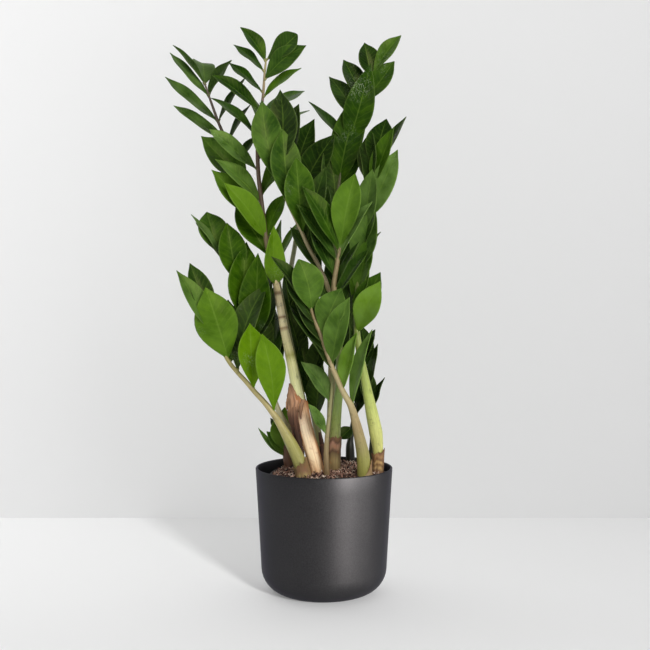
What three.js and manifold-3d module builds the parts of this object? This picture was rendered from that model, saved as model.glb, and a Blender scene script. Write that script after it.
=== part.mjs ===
// A potted ZZ plant: fourteen leafy fronds in peat, in a black nursery pot that stands in a dark cover pot.
// Millimetres, +Z up. The origin is the middle of the cover pot's flat base, and -Y is the front.
import * as THREE from "three";
import { mergeVertices } from "three/addons/utils/BufferGeometryUtils.js";
import Module from "manifold-3d";

const wasm = await Module();
wasm.setup();

// ---------- driving dimensions ----------

const GAP = 0.35; // clearance between two pieces that touch on the real plant

const COVER = { rimRadius: 90, height: 165, footRadius: 82.6, corner: 34, wall: 3, floor: 4, segments: 40 };
const NURSERY = { x: 6, rimRadius: 77, height: 152, footRadius: 60, corner: 17, wall: 1.4, segments: 24 };
const DRAIN = { count: 4, radius: 5, pitchRadius: 30, sides: 8 };
const CORNER_STEPS = 3;

const SOIL = { edgeHeight: 153, mound: 12, lump: 1.3, rings: 4, segments: 24 };
const BURIED = 122; // height at which the buried foot of every stem ends

const STEM_SIDES = 6;
const STEM_STEP = 30; // length of one stretch of a stem
const SHEATH_SIDES = 10;
const SHEATH_FOOT = 146; // height at which a dry leaf base starts, just under the soil

// A leaflet, as rows of points across it, each at a share of its length: it widens from a thick root to a
// blade folded along its middle, which arches and ends in a point.
const ROWS = [[0, 1], [0.32, 3], [0.7, 3], [1, 1]];
const BLADE = { thickness: 0.9, rootThickness: 2.2, arch: 0.045, fold: 0.2 };

// The plant was measured as it is seen from EYE. A place on it is written as x and z, read square to the
// line from EYE to AIM at the scale of the pot's axis, and near, its distance in front of that axis.
const EYE = new THREE.Vector3(0, -1400, 398);
const AIM = new THREE.Vector3(0, 0, 351.6);

const COLOURS = {
  cover: { color: 0x3c3b3d, roughness: 0.5, metalness: 0.1 },
  nursery: { color: 0x141414, roughness: 0.7, metalness: 0 },
  soil: { color: 0x4a3226, roughness: 1, metalness: 0 },
  sheath: { color: 0xb98b5e, roughness: 0.85, metalness: 0 },
  frond: { color: 0x4d7a24, roughness: 0.35, metalness: 0 },
};

// ---------- the plant ----------

// stem: x, z, near, radius, from the soil up. sheath: the dry leaf base round a stem's foot, its greatest
// height, thickness, and the side that is torn down (degrees from the front, turning right) and how far.
// leaflets: height of the joint, x and z of the tip, how much nearer the tip is than the joint, width, and
// tilt, the turn of the upper face from looking at EYE towards the stem's tip, in degrees.
const FRONDS = [
  {
    name: "frond_left_tall",
    stem: [
      [-6, 150, 28, 8.4], [-14, 180, 28, 8.2], [-24, 215, 26, 8], [-33, 255, 24, 7.6], [-42, 300, 21, 7],
      [-51, 340, 18, 6.4], [-57, 372, 15, 6], [-62, 400, 12, 5.5], [-69, 430, 10, 4.3], [-76, 465, 8, 3.7],
      [-81, 505, 6, 3.2], [-86, 550, 4, 2.8], [-87, 590, 2, 2.5], [-84, 622, 0, 2.1], [-80, 652, -2, 1.8],
      [-78, 680, -4, 1.5], [-76, 700, -6, 1.2],
    ],
    sheath: { top: 262, thickness: 2.6, tornSide: 150, torn: 40 },
    leaflets: [
      [406, -52, 514, -16, 28, 42], [412, -66, 482, 20, 30, 20], [452, -118, 512, -16, 36, 20],
      [474, -147, 554, 16, 36, 28], [496, -51, 525, 10, 26, 30], [520, -143, 568, 12, 34, 46],
      [526, -42, 584, -14, 30, 55], [560, -150, 607, 6, 30, 48], [568, -32, 612, -12, 28, 62],
      [598, -19, 635, -14, 28, 64], [600, -147, 650, 6, 28, 60], [616, -102, 662, -36, 26, 55],
      [625, -26, 661, -8, 28, 66], [632, -147, 681, 4, 28, 56], [650, -30, 689, 2, 28, 62],
      [656, -129, 700, -4, 26, 62], [672, -24, 719, 16, 32, 35], [683, -118, 720, 0, 24, 62],
      [697, -109, 743, 0, 24, 40], [699, -33, 734, 26, 36, 35],
    ],
  },
  {
    name: "frond_back_left",
    stem: [
      [-14, 155, -12, 6.4], [-20, 205, -14, 5.4], [-30, 260, -18, 5], [-41, 310, -24, 4.6],
      [-51, 360, -30, 4.2],
      [-60, 405, -34, 3.8], [-72, 465, -40, 3.3], [-88, 510, -42, 3], [-103, 548, -42, 2.7],
      [-118, 575, -42, 2.5], [-128, 594, -42, 2.3], [-138, 616, -42, 2], [-145, 635, -42, 1.8],
      [-151, 652, -42, 1.5], [-157, 670, -42, 1.2],
    ],
    leaflets: [
      [425, -36, 487, -6, 20, 74], [546, -161, 600, 4, 36, 42], [562, -86, 602, -8, 24, 68],
      [590, -97, 643, -8, 28, 68], [592, -197, 640, -4, 32, 48], [618, -101, 680, -8, 28, 68],
      [618, -208, 678, -4, 30, 55], [653, -121, 700, -6, 26, 60], [653, -202, 709, -4, 28, 58],
      [667, -197, 720, 0, 24, 70], [669, -161, 701, -48, 28, 15],
    ],
  },
  {
    name: "frond_left_low",
    stem: [
      [-27, 150, 40, 9.2], [-32, 172, 40, 8.8], [-41, 195, 41, 7.6], [-51, 214, 42, 5.8], [-62, 233, 43, 4.4],
      [-75, 250, 44, 3.7], [-88, 264, 45, 3.4], [-100, 277, 46, 3.1], [-112, 289, 47, 2.9],
      [-122, 301, 47, 2.7], [-131, 314, 47, 2.4], [-141, 331, 46, 2.1], [-150, 350, 44, 1.7],
      [-157, 366, 42, 1.3],
    ],
    sheath: { top: 176, thickness: 1.5, tornSide: 180, torn: 20 },
    leaflets: [
      [243, -82, 340, 10, 40, 15], [271, -97, 354, 6, 40, 25], [296, -78, 408, -18, 38, 30],
      [301, -127, 384, -34, 36, 25], [310, -153, 400, 8, 52, 12], [345, -192, 423, 8, 34, 42],
      [360, -176, 432, -12, 30, 35],
    ],
  },
  {
    name: "frond_left_middle",
    stem: [
      [-24, 152, 15, 6.8], [-36, 190, 14, 5.2], [-48, 217, 13, 4.2], [-60, 240, 12, 3.7], [-72, 270, 10, 3.3],
      [-86, 305, 7, 3.1], [-98, 340, 4, 2.9], [-108, 372, 2, 2.7], [-118, 396, 0, 2.4], [-128, 420, -2, 2.1],
      [-137, 437, -3, 1.8], [-146, 452, -4, 1.4],
    ],
    leaflets: [
      [272, -60, 359, -24, 30, 35], [300, -87, 366, 0, 32, 30], [330, -72, 412, -10, 36, 30],
      [350, -76, 440, -14, 32, 30], [372, -88, 449, -6, 34, 25], [388, -101, 462, 6, 36, 22],
      [421, -127, 485, 6, 36, 20], [438, -163, 471, 10, 26, 50], [449, -154, 499, -36, 34, 15],
      [451, -174, 495, 0, 20, 78],
    ],
  },
  {
    name: "frond_left_small",
    stem: [
      [-43, 160, -20, 6], [-47, 175, -22, 5.4], [-51, 190, -24, 3.6], [-55, 205, -25, 2.4],
      [-58, 219, -26, 1.6],
    ],
    leaflets: [
      [180, -86, 216, 0, 16, 70], [184, -77, 206, 8, 20, 30], [190, -70, 227, -8, 24, 30],
      [196, -51, 242, 0, 26, 20], [214, -66, 250, -22, 22, 30],
    ],
  },
  {
    name: "frond_centre_left",
    stem: [
      [8, 155, -10, 6.4], [9, 220, -6, 5.6], [10, 280, 2, 5], [10, 340, 12, 4.3], [6, 395, 20, 3.7],
      [-5, 425, 24, 3.3], [-20, 453, 28, 3], [-33, 482, 32, 2.7], [-48, 513, 35, 2.4], [-58, 540, 37, 2],
      [-64, 560, 38, 1.5],
    ],
    leaflets: [
      [425, -44, 479, -6, 24, 45], [448, 5, 534, -14, 34, 25], [470, 2, 560, -18, 30, 35],
      [486, -35, 570, -4, 38, 20], [520, -54, 608, 14, 38, 22], [540, -90, 602, -6, 28, 45],
      [556, -81, 646, 8, 36, 25],
    ],
  },
  {
    name: "frond_back_centre",
    stem: [
      [2, 155, -46, 6], [-8, 210, -50, 5.2], [-19, 260, -54, 4.8], [-32, 310, -58, 4.4], [-42, 355, -60, 4.1],
      [-47, 395, -62, 3.8], [-43, 428, -62, 3.5], [-38, 457, -62, 3.2], [-34, 490, -62, 3],
      [-35, 525, -62, 2.7],
      [-42, 560, -60, 2.3], [-53, 600, -58, 1.7],
    ],
    leaflets: [
      [490, 2, 566, -6, 34, 30], [515, 17, 602, 0, 36, 20], [545, -14, 622, -4, 32, 28],
      [556, -84, 622, -12, 28, 45], [575, -35, 641, -6, 30, 40], [586, -84, 644, -10, 26, 45],
      [598, -58, 659, -16, 34, 22],
    ],
  },
  {
    name: "frond_centre_front",
    stem: [
      [15, 150, 14, 8.4], [15, 180, 15, 8.2], [16, 210, 17, 7], [18, 245, 20, 6.2], [21, 280, 23, 5.6],
      [20, 320, 27, 5], [16, 362, 32, 4.3], [13, 400, 36, 3.6], [17, 430, 40, 3], [22, 453, 42, 2.4],
    ],
    sheath: { top: 207, thickness: 1.6, tornSide: 200, torn: 16 },
    leaflets: [
      [380, 58, 452, 0, 32, 48], [402, 44, 455, 6, 22, 76], [425, -25, 486, 14, 26, 55],
      [432, 61, 513, 6, 26, 68], [438, -40, 517, 16, 28, 52], [448, -28, 535, 14, 30, 52],
      [450, 57, 518, -18, 26, 68], [452, 43, 549, 14, 40, 28],
    ],
  },
  {
    name: "frond_back_tall",
    stem: [
      [24, 155, -26, 7.6], [26, 220, -30, 6.8], [26, 300, -34, 6], [21, 380, -34, 5.1], [15, 450, -32, 4.3],
      [15, 500, -34, 3.8], [21, 545, -32, 3.2], [31, 585, -30, 2.8], [43, 625, -28, 2.3], [55, 658, -26, 1.9],
      [66, 686, -24, 1.4],
    ],
    leaflets: [
      [420, -12, 494, -6, 30, 40], [440, 48, 520, -10, 30, 40], [455, 34, 545, -20, 34, 25],
      [470, -14, 548, -8, 32, 40],
      [500, 42, 574, -8, 32, 40], [512, 4, 596, -22, 34, 25], [525, 48, 604, 0, 38, 22],
      [545, -24, 612, -10, 30, 58],
      [560, 56, 650, 16, 40, 16], [592, -20, 645, -4, 30, 60], [600, 61, 695, 20, 40, 15],
      [626, 8, 677, -4, 32, 40], [650, 26, 699, -4, 32, 42], [655, 92, 698, 6, 30, 38],
      [678, 54, 722, -4, 32, 38], [684, 101, 732, 0, 26, 35],
    ],
  },
  {
    name: "frond_right",
    stem: [
      [70, 150, 6, 6], [71, 182, 8, 6.4], [68, 210, 10, 9], [63, 235, 12, 8.2], [57, 264, 13, 6.4],
      [51, 294, 14, 5.4], [46, 320, 14, 4.7], [43, 345, 13, 4.2], [43, 380, 12, 3.8], [46, 420, 10, 3.4],
      [50, 460, 9, 3], [56, 500, 8, 2.6], [63, 535, 7, 2.1], [69, 562, 6, 1.5],
    ],
    sheath: { top: 188, thickness: 1.5, tornSide: 250, torn: 12 },
    leaflets: [
      [345, 74, 409, 20, 36, 25], [356, 71, 421, 2, 32, 30], [392, 58, 462, 8, 28, 50],
      [435, 74, 474, 2, 20, 74], [448, 65, 518, 8, 30, 42], [478, 63, 555, 12, 32, 50],
      [500, 97, 578, 6, 32, 45], [520, 46, 585, -10, 24, 68], [540, 60, 604, -8, 30, 48],
      [548, 106, 626, 0, 26, 64], [556, 94, 603, 24, 28, 42], [560, 82, 622, -4, 32, 28],
    ],
  },
  {
    name: "frond_front_right",
    stem: [
      [55, 150, 36, 8.4], [54, 178, 40, 8.2], [49, 200, 44, 7], [42, 225, 48, 5.6], [35, 246, 51, 4.4],
      [25, 264, 54, 3.7], [17, 282, 55, 3.4], [9, 300, 56, 3.2], [2, 320, 57, 3], [-5, 340, 58, 2.7],
      [-12, 357, 59, 2.3], [-17, 373, 60, 1.9],
    ],
    sheath: { top: 178, thickness: 1.5, tornSide: 270, torn: 22 },
    leaflets: [
      [244, 59, 343, 6, 28, 48], [273, 43, 343, 2, 24, 55], [292, -25, 350, 6, 28, 52],
      [303, 31, 385, 6, 34, 38], [320, -42, 376, -12, 28, 55], [338, 20, 400, 8, 34, 40],
      [352, -52, 410, 4, 28, 52], [371, -68, 441, 4, 30, 48], [373, -25, 440, 2, 40, 25],
    ],
  },
  {
    name: "frond_front_small",
    stem: [
      [4, 150, 43, 3.4], [3, 180, 43, 3], [4, 205, 43, 2.8], [7, 235, 43, 2.5], [9, 255, 43, 2.2],
      [11, 278, 43, 1.8], [12, 296, 42, 1.4],
    ],
    leaflets: [[205, -20, 247, 6, 22, 40], [247, -29, 303, 4, 30, 35], [285, 2, 342, -6, 24, 50]],
  },
  {
    name: "frond_right_low",
    stem: [
      [60, 158, -32, 5], [64, 200, -32, 4.2], [64, 235, -32, 3.6], [57, 272, -32, 3.2], [49, 306, -32, 2.8],
      [43, 340, -32, 2.2], [39, 365, -32, 1.6],
    ],
    leaflets: [
      [236, 79, 283, 4, 22, 64], [240, 48, 290, 4, 26, 40], [262, 63, 290, -8, 20, 55],
      [272, 70, 327, 4, 26, 60], [300, 48, 351, 8, 24, 50], [306, 66, 346, 2, 24, 60],
      [330, 20, 376, 18, 28, 35], [345, 46, 410, -4, 28, 45], [364, 26, 424, 14, 28, 40],
    ],
  },
  {
    name: "frond_back_small",
    stem: [
      [35, 162, -50, 4.6], [34, 190, -51, 4.2], [36, 215, -52, 3.4], [40, 236, -52, 2.6],
      [43, 250, -52, 1.8],
    ],
    leaflets: [[218, 20, 202, 6, 20, 25], [228, 56, 262, 0, 20, 50], [246, 40, 288, 0, 22, 40]],
  },
];

// The torn flap of old leaf base that hangs beside the tall left stem: x, z, near and half its width.
const FLAP = {
  beside: "frond_left_tall",
  spine: [[-22, 180, 28, 5], [-30, 204, 28, 8], [-36, 228, 27, 10], [-41, 252, 26, 8], [-45, 275, 24, 2]],
  thickness: 1.4,
  curl: 0.35,
};

// ---------- solids ----------

// A closed mesh as a solid, and a solid as a mesh's geometry.
function solidOf(geometry) {
  const bare = geometry.index ? geometry.toNonIndexed() : geometry.clone();
  const extras = Object.keys(bare.attributes).filter((name) => name !== "position");
  extras.forEach((name) => bare.deleteAttribute(name));
  const merged = mergeVertices(bare, 1e-3);
  return new wasm.Manifold(
    new wasm.Mesh({
      numProp: 3,
      vertProperties: merged.attributes.position.array,
      triVerts: new Uint32Array(merged.index.array),
    }),
  );
}

function geometryOf(solid) {
  const mesh = solid.getMesh();
  return new THREE.BufferGeometry()
    .setAttribute("position", new THREE.BufferAttribute(mesh.vertProperties, 3))
    .setIndex(new THREE.BufferAttribute(mesh.triVerts, 1));
}

// Solids joined into one body, with any hollow that this seals filled.
function fuse(solids) {
  const bodies = solids.reduce((whole, solid) => whole.add(solid)).decompose();
  return bodies.reduce((largest, body) => (body.volume() > largest.volume() ? body : largest));
}

const cutOut = (solid, holes) => holes.reduce((rest, hole) => rest.subtract(hole), solid);

// Moves every vertex of a geometry to where warp(vertex) says.
function warped(geometry, warp) {
  const position = geometry.attributes.position;
  const vertex = new THREE.Vector3();
  for (let i = 0; i < position.count; i++) {
    vertex.fromBufferAttribute(position, i);
    position.setXYZ(i, ...warp(vertex));
  }
  return geometry;
}

// The triangles between rows of points that hold the given counts, each row next to the one before.
function stitched(counts) {
  const triangles = [];
  let first = 0;
  for (let row = 0; row + 1 < counts.length; row++) {
    const [near, far] = [counts[row], counts[row + 1]];
    for (let i = 0, j = 0; i < near - 1 || j < far - 1; ) {
      const [a, b] = [first + i, first + near + j];
      const alongFar = j < far - 1 && (i === near - 1 || (j + 0.5) / (far - 1) < (i + 0.5) / (near - 1));
      triangles.push(alongFar ? [a, b + 1, b] : [a, a + 1, b]);
      if (alongFar) j++;
      else i++;
    }
    first += near;
  }
  return triangles;
}

// A plate: an upper and a lower skin, split alike into triangles, joined round their edge.
function plate(triangles, upper, lower) {
  const count = upper.length;
  const faces = [];
  const edges = new Set();
  for (const [a, b, c] of triangles) {
    faces.push(a, b, c, count + c, count + b, count + a);
    for (const edge of [[a, b], [b, c], [c, a]]) edges.add(edge.join());
  }
  for (const edge of edges) {
    const [p, q] = edge.split(",").map(Number);
    if (!edges.has([q, p].join())) faces.push(q, p, count + p, q, count + p, count + q);
  }
  const points = [...upper, ...lower].flatMap((point) => point.toArray());
  return new THREE.BufferGeometry()
    .setAttribute("position", new THREE.Float32BufferAttribute(points, 3))
    .setIndex(faces);
}

// ---------- places ----------

// The point seen at x, z from EYE that lies near millimetres in front of the pot's axis.
function place(x, z, near) {
  const line = AIM.clone().sub(EYE).normalize();
  const up = new THREE.Vector3(0, -line.z, line.y);
  const seen = AIM.clone().addScaledVector(up, z - AIM.z).setX(x);
  return EYE.clone().lerp(seen, (-near - EYE.y) / (seen.y - EYE.y));
}

// A stem's centre line through its rows, with the radius at any share of it. It starts with a straight foot
// that goes on down into the soil.
function stemLine(rows, buried = BURIED) {
  const points = rows.map(([x, z, near]) => place(x, z, near));
  const foot = points[0].clone().lerp(points[1], (buried - points[0].z) / (points[1].z - points[0].z));
  const curve = new THREE.CatmullRomCurve3([foot, ...points], false, "catmullrom", 0.5);
  const radii = [rows[0][3], ...rows.map((row) => row[3])];
  const radiusAt = (share) => {
    const along = share * (radii.length - 1);
    const i = Math.min(Math.floor(along), radii.length - 2);
    return THREE.MathUtils.lerp(radii[i], radii[i + 1], along - i);
  };
  // The share at which the stem is seen at height z.
  const shareAt = (z) => {
    const i = THREE.MathUtils.clamp(rows.findLastIndex((row) => row[1] <= z), 0, rows.length - 2);
    return (i + 1 + (z - rows[i][1]) / (rows[i + 1][1] - rows[i][1])) / rows.length;
  };
  return { curve, radiusAt, shareAt };
}

// ---------- pots and soil ----------

// The rounded corner of a profile, from its bottom to its side, about a centre at radius out and height up.
function cornerArc(out, up, radius) {
  return Array.from({ length: CORNER_STEPS + 1 }, (_, i) => {
    const angle = ((i / CORNER_STEPS - 1) * Math.PI) / 2;
    return new THREE.Vector2(out + radius * Math.cos(angle), up + radius * Math.sin(angle));
  });
}

// A thin-walled cup: its profile goes out along the base, up the side, over the rim and down the inside.
function cup({ rimRadius, height, footRadius, corner, wall, floor = wall, segments }) {
  const outside = cornerArc(footRadius - corner, corner, corner);
  const inside = cornerArc(footRadius - corner, corner + floor - wall, corner - wall).reverse();
  const profile = [
    new THREE.Vector2(0, 0),
    ...outside,
    new THREE.Vector2(rimRadius, height - wall / 2),
    new THREE.Vector2(rimRadius - wall / 2, height),
    new THREE.Vector2(rimRadius - wall, height - wall / 2),
    ...inside,
    new THREE.Vector2(0, floor),
  ];
  return solidOf(new THREE.LatheGeometry(profile, segments).rotateX(Math.PI / 2));
}

function nurseryPot() {
  const drains = Array.from({ length: DRAIN.count }, (_, i) => {
    const drain = new THREE.CylinderGeometry(DRAIN.radius, DRAIN.radius, 4 * NURSERY.wall, DRAIN.sides);
    drain.rotateX(Math.PI / 2).translate(DRAIN.pitchRadius, 0, NURSERY.wall / 2);
    return solidOf(drain.rotateZ((i / DRAIN.count) * 2 * Math.PI));
  });
  return cutOut(cup(NURSERY), drains).translate([NURSERY.x, 0, COVER.floor + GAP]);
}

// The height of the peat: a mound, highest behind the middle, with lumps.
function soilHeight(x, y, share) {
  const mound = SOIL.mound * (1 - Math.pow(share, 4)) * (0.9 + (0.25 * y) / NURSERY.rimRadius);
  const lumps = Math.sin(0.31 * x + 1) * Math.cos(0.27 * y) + 0.7 * Math.sin(0.17 * x - 0.33 * y + 2);
  return SOIL.edgeHeight + mound + SOIL.lump * lumps * Math.min(1, 4 * (1 - share));
}

// The peat fills the nursery pot. Every stem stands in a plain hole in it.
function soilBody(holes) {
  const inset = NURSERY.wall + GAP;
  const cornerUp = COVER.floor + GAP + NURSERY.corner;
  const corner = cornerArc(NURSERY.footRadius - NURSERY.corner, cornerUp, NURSERY.corner - inset);
  const profile = [new THREE.Vector2(0, corner[0].y), ...corner];
  const slope = (NURSERY.rimRadius - NURSERY.footRadius) / (NURSERY.height - NURSERY.corner);
  const edge = NURSERY.footRadius - inset + (SOIL.edgeHeight - cornerUp) * slope;
  for (let i = SOIL.rings; i >= 0; i--) {
    profile.push(new THREE.Vector2((edge * i) / SOIL.rings, SOIL.edgeHeight));
  }
  const lathe = new THREE.LatheGeometry(profile, SOIL.segments).rotateX(Math.PI / 2);
  const heaped = warped(lathe, (v) => {
    const share = Math.hypot(v.x, v.y) / edge;
    const onTop = v.z > SOIL.edgeHeight - 1;
    return [v.x + NURSERY.x, v.y, onTop ? soilHeight(v.x, v.y, share) : v.z];
  });
  return cutOut(solidOf(heaped), holes);
}

// ---------- fronds ----------

// A stem as a round bar of changing thickness. grow is added to its radius.
function stemTube(line, grow = 0) {
  const steps = Math.round(line.curve.getLength() / STEM_STEP) + 2;
  const bar = new THREE.CylinderGeometry(1, 1, 1, STEM_SIDES, steps);
  return warped(bar, (v) => {
    const share = 0.5 + v.y;
    const { centre, right, front } = acrossStem(line, share);
    const radius = line.radiusAt(share) + grow;
    return centre.addScaledVector(right, v.x * radius).addScaledVector(front, v.z * radius);
  });
}

// A stem's centre at a share of it, with the two directions across it: to the right, and to the front.
function acrossStem(line, share) {
  const centre = line.curve.getPoint(share);
  const along = line.curve.getTangent(share);
  const right = new THREE.Vector3(0, 1, 0).cross(along).normalize();
  return { centre, right, front: right.clone().cross(along).normalize() };
}

// Half the width of a leaflet of the given width at a share of its length.
function halfWidth(share, width) {
  const bulge = Math.pow(share, 0.92);
  return (width / 2) * Math.pow(4 * bulge * (1 - bulge), 0.8);
}

function leaflet(line, [jointHeight, tipX, tipZ, tipNearer, width, tilt]) {
  const joint = line.curve.getPoint(line.shareAt(jointHeight));
  const tip = place(tipX, tipZ, tipNearer - joint.y);
  const length = joint.distanceTo(tip);
  const along = tip.clone().sub(joint).normalize();
  const look = EYE.clone().sub(joint).projectOnPlane(along).normalize();
  const inward = along.clone().cross(look).multiplyScalar(along.x < 0 ? 1 : -1);
  const turn = THREE.MathUtils.degToRad(tilt);
  const face = look.clone().multiplyScalar(Math.cos(turn)).addScaledVector(inward, Math.sin(turn));
  const across = along.clone().cross(face);

  const [upper, lower] = [[], []];
  for (const [share, count] of ROWS) {
    const half = halfWidth(share, width);
    const thickness = share === 0 ? BLADE.rootThickness : BLADE.thickness;
    for (let i = 0; i < count; i++) {
      const side = count === 1 ? 0 : (2 * i) / (count - 1) - 1;
      const lift = BLADE.arch * length * Math.sin(Math.PI * share) + BLADE.fold * Math.abs(side) * half;
      const point = joint
        .clone()
        .addScaledVector(along, share * length)
        .addScaledVector(across, side * half);
      upper.push(point.clone().addScaledVector(face, lift + thickness / 2));
      lower.push(point.clone().addScaledVector(face, lift - thickness / 2));
    }
  }
  return solidOf(plate(stitched(ROWS.map(([, count]) => count)), upper, lower));
}

// The dry leaf base round a stem's foot, filled: its upper edge is ragged, and torn down on one side.
function sheathCore(line, { top, thickness, tornSide, torn }, grow = 0) {
  const bottom = line.shareAt(SHEATH_FOOT - grow);
  const core = new THREE.CylinderGeometry(1, 1, 1, SHEATH_SIDES, 3);
  return warped(core, (v) => {
    const angle = Math.atan2(v.x, v.z);
    const ragged = 1.5 * Math.sin(5 * angle) + Math.sin(9 * angle + 1);
    const fromTear = Math.cos(angle - THREE.MathUtils.degToRad(tornSide));
    const edge = line.shareAt(top + ragged - torn * Math.max(0, fromTear));
    const share = THREE.MathUtils.lerp(bottom, edge, 0.5 + v.y);
    const { centre, right, front } = acrossStem(line, share);
    const radius = line.radiusAt(share) + GAP + thickness * (0.83 - 0.35 * v.y) + grow;
    return centre.addScaledVector(right, v.x * radius).addScaledVector(front, v.z * radius);
  });
}

// The flap torn off a leaf base: a curled strip along its spine.
function tornFlap({ spine, thickness, curl }) {
  const curve = new THREE.CatmullRomCurve3(spine.map(([x, z, near]) => place(x, z, near)));
  const strip = new THREE.BoxGeometry(2, 1, 1, 2, spine.length - 1, 1);
  return warped(strip, (v) => {
    const row = Math.round((v.y + 0.5) * (spine.length - 1));
    const half = spine[row][3];
    return curve
      .getPoint(row / (spine.length - 1))
      .add(new THREE.Vector3(v.x * half, -v.z * thickness + v.x * v.x * curl * half, 0));
  });
}

// ---------- the assembly ----------

const plant = new THREE.Group();
plant.name = "potted_zz_plant";

function add(name, finish, solid) {
  const mesh = new THREE.Mesh(geometryOf(solid), new THREE.MeshStandardMaterial(COLOURS[finish]));
  mesh.name = name;
  plant.add(mesh);
}

add("cover_pot", "cover", cup(COVER));
add("nursery_pot", "nursery", nurseryPot());

const holes = [];
for (const { name, stem, sheath, leaflets } of FRONDS) {
  const line = stemLine(stem);
  add(name, "frond", fuse([solidOf(stemTube(line)), ...leaflets.map((row) => leaflet(line, row))]));
  const clearance = solidOf(stemTube(stemLine(stem, BURIED - GAP), GAP));
  holes.push(clearance);
  if (!sheath) continue;
  const dry = [solidOf(sheathCore(line, sheath))];
  if (FLAP.beside === name) dry.push(solidOf(tornFlap(FLAP)));
  add(name.replace("frond", "sheath"), "sheath", cutOut(fuse(dry), [clearance]));
  holes.push(solidOf(sheathCore(line, sheath, GAP)));
}
add("soil", "soil", soilBody(holes));

export default plant;
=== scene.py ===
import math
import random

import bmesh
import bpy
from mathutils import Matrix, Vector, noise


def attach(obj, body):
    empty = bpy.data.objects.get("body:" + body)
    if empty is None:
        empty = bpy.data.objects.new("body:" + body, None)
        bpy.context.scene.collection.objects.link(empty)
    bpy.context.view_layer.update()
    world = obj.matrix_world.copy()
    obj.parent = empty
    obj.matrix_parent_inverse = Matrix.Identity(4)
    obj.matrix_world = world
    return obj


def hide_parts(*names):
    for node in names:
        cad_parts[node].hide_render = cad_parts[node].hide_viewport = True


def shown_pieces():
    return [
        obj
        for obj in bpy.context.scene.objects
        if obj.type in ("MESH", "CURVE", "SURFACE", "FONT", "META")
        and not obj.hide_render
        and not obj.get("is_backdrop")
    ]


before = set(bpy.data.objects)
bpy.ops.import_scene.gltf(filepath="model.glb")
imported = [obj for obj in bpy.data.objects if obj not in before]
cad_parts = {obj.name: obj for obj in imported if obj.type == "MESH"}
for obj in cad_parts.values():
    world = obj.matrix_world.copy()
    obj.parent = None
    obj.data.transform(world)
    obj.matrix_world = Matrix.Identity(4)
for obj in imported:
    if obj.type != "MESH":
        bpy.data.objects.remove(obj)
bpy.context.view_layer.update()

MM = 0.001


# ---------- the studio ----------
# A white tabletop meets a white wall 45 cm behind the middle of the pot. The wall is one-sided, so that
# the plant is seen from behind as well. Soft lights, most of them at the front right, each fall on the
# pots, the plant, the table or the wall alone, under an even white sky.

def linear(red, green, blue):
    """A colour given in 0 to 255 steps, as a shader reads it."""
    parts = [c / 255 for c in (red, green, blue)]
    return [c / 12.92 if c <= 0.04045 else ((c + 0.055) / 1.055) ** 2.4 for c in parts] + [1]


def fill(tree, made, inputs):
    """Each of these inputs of a node is given its value or joined to its socket."""
    for name, value in inputs.items():
        if isinstance(value, bpy.types.NodeSocket):
            tree.links.new(value, made.inputs[name])
        else:
            made.inputs[name].default_value = value


def node(tree, kind, inputs=None, **settings):
    """A shader node with its settings made and its inputs filled."""
    made = tree.nodes.new("ShaderNode" + kind)
    for name, value in settings.items():
        setattr(made, name, value)
    fill(tree, made, inputs or {})
    return made


def ramp(tree, value, *stops):
    """The colour of a value on a ramp through stops, each a place on it and a colour."""
    made = node(tree, "ValToRGB", {"Fac": value})
    line = made.color_ramp.elements
    for element, (stop, colour) in zip(line, (stops[0], stops[-1])):
        element.position = stop
        element.color = colour
    for stop, colour in stops[1:-1]:
        line.new(stop).color = colour
    return made.outputs["Color"]


def finish(name):
    """A new material, with its node tree and its Principled BSDF."""
    material = bpy.data.materials.new(name)
    material.use_nodes = True
    return material, material.node_tree, material.node_tree.nodes["Principled BSDF"]


def made_object(name, bm, *materials):
    """The bmesh as an object at the origin, smooth, with its materials."""
    mesh = bpy.data.meshes.new(name)
    bm.to_mesh(mesh)
    bm.free()
    mesh.shade_smooth()
    for material in materials:
        mesh.materials.append(material)
    made = bpy.data.objects.new(name, mesh)
    bpy.context.scene.collection.objects.link(made)
    return made


camera_data = bpy.data.cameras.new("camera")
camera_data.lens = 59.15
camera = bpy.data.objects.new("camera", camera_data)
camera.location = (0.0013, -1.4, 0.398)
camera.rotation_euler = (math.radians(88.1), 0, 0)
bpy.context.scene.collection.objects.link(camera)
bpy.context.scene.camera = camera
bpy.context.scene.view_settings.view_transform = "Standard"

WALL_BEHIND = 450
STUDIO_HALF = 3000

paint, tree, shader = finish("white_paint")
mottle = node(tree, "TexNoise", {"Scale": 3.0, "Detail": 2.0})
shade = ramp(tree, mottle.outputs["Fac"], (0, (0.79, 0.79, 0.79, 1)), (1, (0.83, 0.83, 0.83, 1)))
fill(tree, shader, {"Base Color": shade, "Roughness": 0.75})

bm = bmesh.new()
bmesh.ops.create_grid(bm, x_segments=1, y_segments=1, size=STUDIO_HALF * MM)
bmesh.ops.translate(bm, verts=bm.verts, vec=(0, (WALL_BEHIND - STUDIO_HALF) * MM, 0))
made_object("floor", bm, paint)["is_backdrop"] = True

wall_paint = paint.copy()
wall_paint.name = "wall_paint"
tree = wall_paint.node_tree
behind = node(tree, "NewGeometry").outputs["Backfacing"]
painted = tree.nodes["Principled BSDF"].outputs["BSDF"]
seen_through = node(tree, "BsdfTransparent").outputs["BSDF"]
one_sided = node(tree, "MixShader", {0: behind, 1: painted, 2: seen_through})
tree.links.new(one_sided.outputs[0], tree.nodes["Material Output"].inputs["Surface"])

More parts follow.
